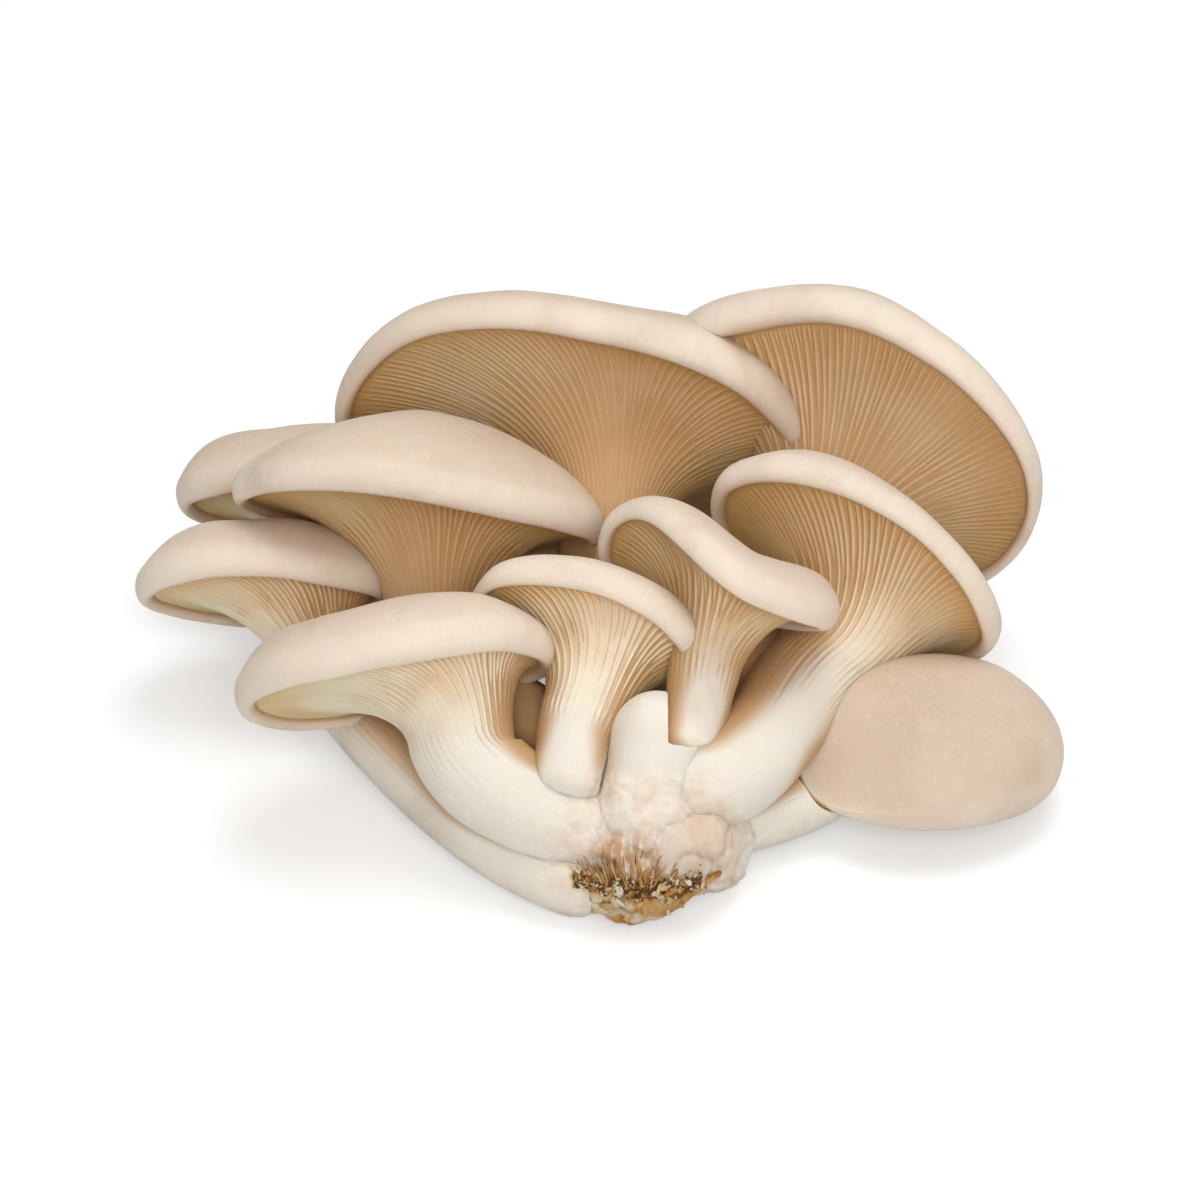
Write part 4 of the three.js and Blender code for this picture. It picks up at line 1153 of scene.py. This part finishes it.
# ---- settings ----
def colour(name, description, code):
    """A colour that a user can change."""
    return FloatVectorProperty(
        name=name, description=description, subtype="COLOR", size=4, min=0, max=1,
        default=paint(code),
    )


def length(name, description, millimetres, low, high):
    """A length that a user can change."""
    return FloatProperty(
        name=name, description=description, default=millimetres * MM, min=low * MM,
        max=high * MM, subtype="DISTANCE", unit="LENGTH", precision=5,
    )


class MushroomSettings(bpy.types.PropertyGroup):
    """Sizes and colours of the ten mushrooms and the stub."""

    gill_spacing: length("Gill spacing", "Distance between gills at the margin", 0.95, 0.8, 3)
    gill_thickness: length("Gill thickness", "Width of a gill's edge", 0.27, 0.2, 0.8)
    gill_depth: length("Gill depth", "Greatest depth of the furrows between gills", 0.8, 0.4, 3)
    crown_colour: colour("Crown", "Top of the caps", "dcc8b4")
    crown_middle_colour: colour("Crown middle", "Middle of the caps' tops", "cfbaa4")
    crown_shade: colour("Crown shade", "Darker clouds on the caps", "bb9c80")
    margin_colour: colour("Margin", "The rolled edge of the caps", "e9dbca")
    # A thin line of painted shade in the crease where the gills end
    crease_shade_colour: colour("Crease", "The line where the gills end", "b08d68")
    neck_colour: colour("Neck", "Where the gills run down the stem", "eee2cd")
    gill_colour: colour("Gills", "Edges of the gills", "f6e4c9")
    # Painted shade on the gills under the lip
    under_lip_shade_colour: colour("Deep gills", "The gills under the lip", "e8c99e")
    # Painted shade in the furrows between the gills
    furrow_shade_colour: colour("Furrows", "Depth between the gills", "dcb07a")
    # Painted shade in the gaps between mushrooms and at the necks behind other caps
    gap_shade_colour: colour("Crowded", "Flesh in the gaps between mushrooms", "bd8a44")
    stem_colour: colour("Stem", "The stems' flesh", "e9e2d5")
    streak_colour: colour("Streaks", "Fine fibres on the stems", "d9c6a8")
    stub_colour: colour("Stub", "The cut stem's flesh", "ebe4d8")


class ButtSettings(bpy.types.PropertyGroup):
    """Sizes and colours of the butt's felt."""

    nub_height: length("Nub height", "Strength of the felt's nubs and cracks", 1, 0, 2)
    felt_colour: colour("Felt", "The white threads", "efe4d6")
    felt_shade: colour("Felt shade", "Beige clouds on the felt", "dfc4ab")
    stain_colour: colour("Stains", "Brown stains near the crust", "c58b4c")


class SubstrateSettings(bpy.types.PropertyGroup):
    """Size and colours of the crust and what sticks to it."""

    crust_thickness: length("Crust thickness", "How far it stands off the butt", 1.3, 0.5, 4)
    dark_colour: colour("Dark", "The darkest crumbs", "684826")
    brown_colour: colour("Brown", "Brown crumbs", "7a5530")
    rust_colour: colour("Rust", "Orange-brown crust", "c9934f")
    straw_colour: colour("Straw", "Straw", "d9b680")
    pale_colour: colour("Pale", "The palest chips", "efe0c6")


class StageSettings(bpy.types.PropertyGroup):
    """The floor, the lights and the camera."""

    floor_colour: colour("Floor", "The floor's colour", "dadada")
    world_strength: FloatProperty(
        name="Surroundings", description="White light from all sides", default=0.5, min=0
    )
    softbox_power: FloatProperty(
        name="Softbox", description="Overhead light", default=3.2, min=0, unit="POWER"
    )
    lens: FloatProperty(
        name="Lens", description="Focal length in millimetres", default=115.4, min=20
    )
    elevation: FloatProperty(
        name="Elevation", description="How far the camera looks down",
        default=math.radians(35), subtype="ANGLE",
    )
    distance: length("Distance", "From the camera to what it looks at", 750, 300, 2000)


# ---- operators ----
class GrowMushrooms(bpy.types.Operator):
    """Grow the ten mushrooms, each over its own solid."""

    bl_idname = "mushrooms.grow_mushrooms"
    bl_label = "Grow Mushrooms"

    def execute(self, context):
        scene = context.scene
        material = flesh_material(scene.mushroom_settings, scene.butt_settings)
        balls = {name: cluster_balls(Mushroom(spec, 0)) for name, spec in MUSHROOMS.items()}
        for seed, name in enumerate(MUSHROOMS, 1):
            mesh = grow_mushroom(name, seed, scene.mushroom_settings)
            others = [balls[other] for other in MUSHROOMS if other != name]
            others = [np.concatenate(part) for part in zip(*others)]
            add_painted_gap_shade(mesh, others, NECK_PAINTED_SHADES.get(name, 0))
            place(name + "_flesh", mesh, material, "mushroom_flesh", name)
        return {"FINISHED"}


class GrowStub(bpy.types.Operator):
    """Grow the stem that was cut short."""

    bl_idname = "mushrooms.grow_stub"
    bl_label = "Grow Cut Stub"

    def execute(self, context):
        scene = context.scene
        material = stub_material(scene.mushroom_settings, scene.butt_settings)
        place("cut_stub_flesh", grow_stub(), material, "stem_flesh", "cut_stub")
        return {"FINISHED"}


class GrowButt(bpy.types.Operator):
    """Grow the felted butt."""

    bl_idname = "mushrooms.grow_butt"
    bl_label = "Grow Butt"

    def execute(self, context):
        settings = context.scene.butt_settings
        place("butt_felt", grow_butt(settings), butt_material(settings), "butt_flesh", "butt")
        return {"FINISHED"}


class LayCrust(bpy.types.Operator):
    """Lay the crust of sawdust and straw, with its loose bits."""

    bl_idname = "mushrooms.lay_crust"
    bl_label = "Lay Crust"

    def execute(self, context):
        settings = context.scene.substrate_settings
        material, crust = substrate_material(settings), grow_crust(settings)
        place("substrate_crumbs", crust, material, "substrate", "substrate_crust")
        place("substrate_bits", strew_bits(), material, "substrate")
        return {"FINISHED"}


class SetStage(bpy.types.Operator):
    """Set the floor, the soft lights and the camera."""

    bl_idname = "mushrooms.set_stage"
    bl_label = "Set Stage"

    def execute(self, context):
        scene = context.scene
        settings = scene.stage_settings
        make_floor(scene, settings)
        make_lights(scene, settings)
        make_camera(scene, settings)
        scene.view_settings.view_transform = "Standard"
        scene.view_settings.look = "None"
        return {"FINISHED"}


def make_floor(scene, settings):
    """A wide plain floor, a hair under the cluster, that looks whiter to the camera."""
    corners = [(-1, -1), (1, -1), (1, 1), (-1, 1)]
    half, drop = FLOOR_HALF * MM, FLOOR_DROP * MM
    mesh = bpy.data.meshes.new("floor")
    mesh.from_pydata([(x * half, y * half, -drop) for x, y in corners], [], [(0, 1, 2, 3)])
    material, g, shader = new_material("floor")
    seen = g.add("ShaderNodeLightPath").outputs["Is Camera Ray"]
    for name, value in (
        ("Base Color", settings.floor_colour), ("Roughness", 0.9), ("Specular IOR Level", 0.1),
        ("Emission Color", WHITE), ("Emission Strength", g.times(seen, 0.38)),
    ):
        g.feed(shader.inputs[name], value)
    mesh.materials.append(material)
    floor = bpy.data.objects.new("floor", mesh)
    scene.collection.objects.link(floor)


def make_lights(scene, settings):
    """White surroundings, a wide softbox overhead and one in front."""
    world = bpy.data.worlds.new("white surroundings")
    world.use_nodes = True
    background = world.node_tree.nodes["Background"]
    background.inputs["Color"].default_value = WHITE
    background.inputs["Strength"].default_value = settings.world_strength
    scene.world = world
    for name, spot, size, share in (
        ("softbox", (120, 190, 880), 600, 1),
        ("front softbox", (60, -740, 640), 500, 1.15),
    ):
        light = bpy.data.lights.new(name, "AREA")
        light.shape = "DISK"
        light.size = size * MM
        light.energy = settings.softbox_power * share
        lamp = bpy.data.objects.new(name, light)
        lamp.location = Vector(spot) * MM
        way = (Vector(LOOK_AT) - Vector(spot)).normalized()
        lamp.rotation_euler = way.to_track_quat("-Z", "Y").to_euler()
        scene.collection.objects.link(lamp)


def make_camera(scene, settings):
    """Looks along +Y and down at the cluster."""
    camera = bpy.data.cameras.new("camera")
    camera.lens = settings.lens
    camera.sensor_width = 36
    camera.clip_end = 20
    camera.dof.use_dof = False
    view = bpy.data.objects.new("camera", camera)
    back = Vector((0, -math.cos(settings.elevation), math.sin(settings.elevation)))
    view.location = Vector(LOOK_AT) * MM + back * settings.distance
    view.rotation_euler = (QUARTER - settings.elevation, 0, 0)
    scene.collection.objects.link(view)
    scene.camera = view


PARTS = {
    "mushroom_settings": (MushroomSettings, (GrowMushrooms, GrowStub)),
    "butt_settings": (ButtSettings, (GrowButt,)),
    "substrate_settings": (SubstrateSettings, (LayCrust,)),
    "stage_settings": (StageSettings, (SetStage,)),
}


class MushroomPanel(bpy.types.Panel):
    """Lists the operators and the settings."""

    bl_idname = "VIEW3D_PT_mushrooms"
    bl_label = "Oyster Mushrooms"
    bl_space_type = "VIEW_3D"
    bl_region_type = "UI"
    bl_category = "Mushrooms"

    def draw(self, context):
        for settings_name, (settings_class, operators) in PARTS.items():
            box = self.layout.box()
            for name in settings_class.__annotations__:
                box.prop(getattr(context.scene, settings_name), name)
            for operator in operators:
                box.operator(operator.bl_idname)


def register():
    for name, (settings_class, operators) in PARTS.items():
        for part in (settings_class, *operators):
            bpy.utils.register_class(part)
        setattr(bpy.types.Scene, name, PointerProperty(type=settings_class))
    bpy.utils.register_class(MushroomPanel)


def unregister():
    bpy.utils.unregister_class(MushroomPanel)
    for name, (settings_class, operators) in PARTS.items():
        delattr(bpy.types.Scene, name)
        for part in (*operators, settings_class):
            bpy.utils.unregister_class(part)


def main():
    """Registers the add-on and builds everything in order."""
    register()
    bpy.ops.mushrooms.set_stage()
    bpy.ops.mushrooms.grow_butt()
    bpy.ops.mushrooms.grow_stub()
    bpy.ops.mushrooms.grow_mushrooms()
    bpy.ops.mushrooms.lay_crust()
    bpy.context.view_layer.update()


if __name__ == "__main__":
    main()
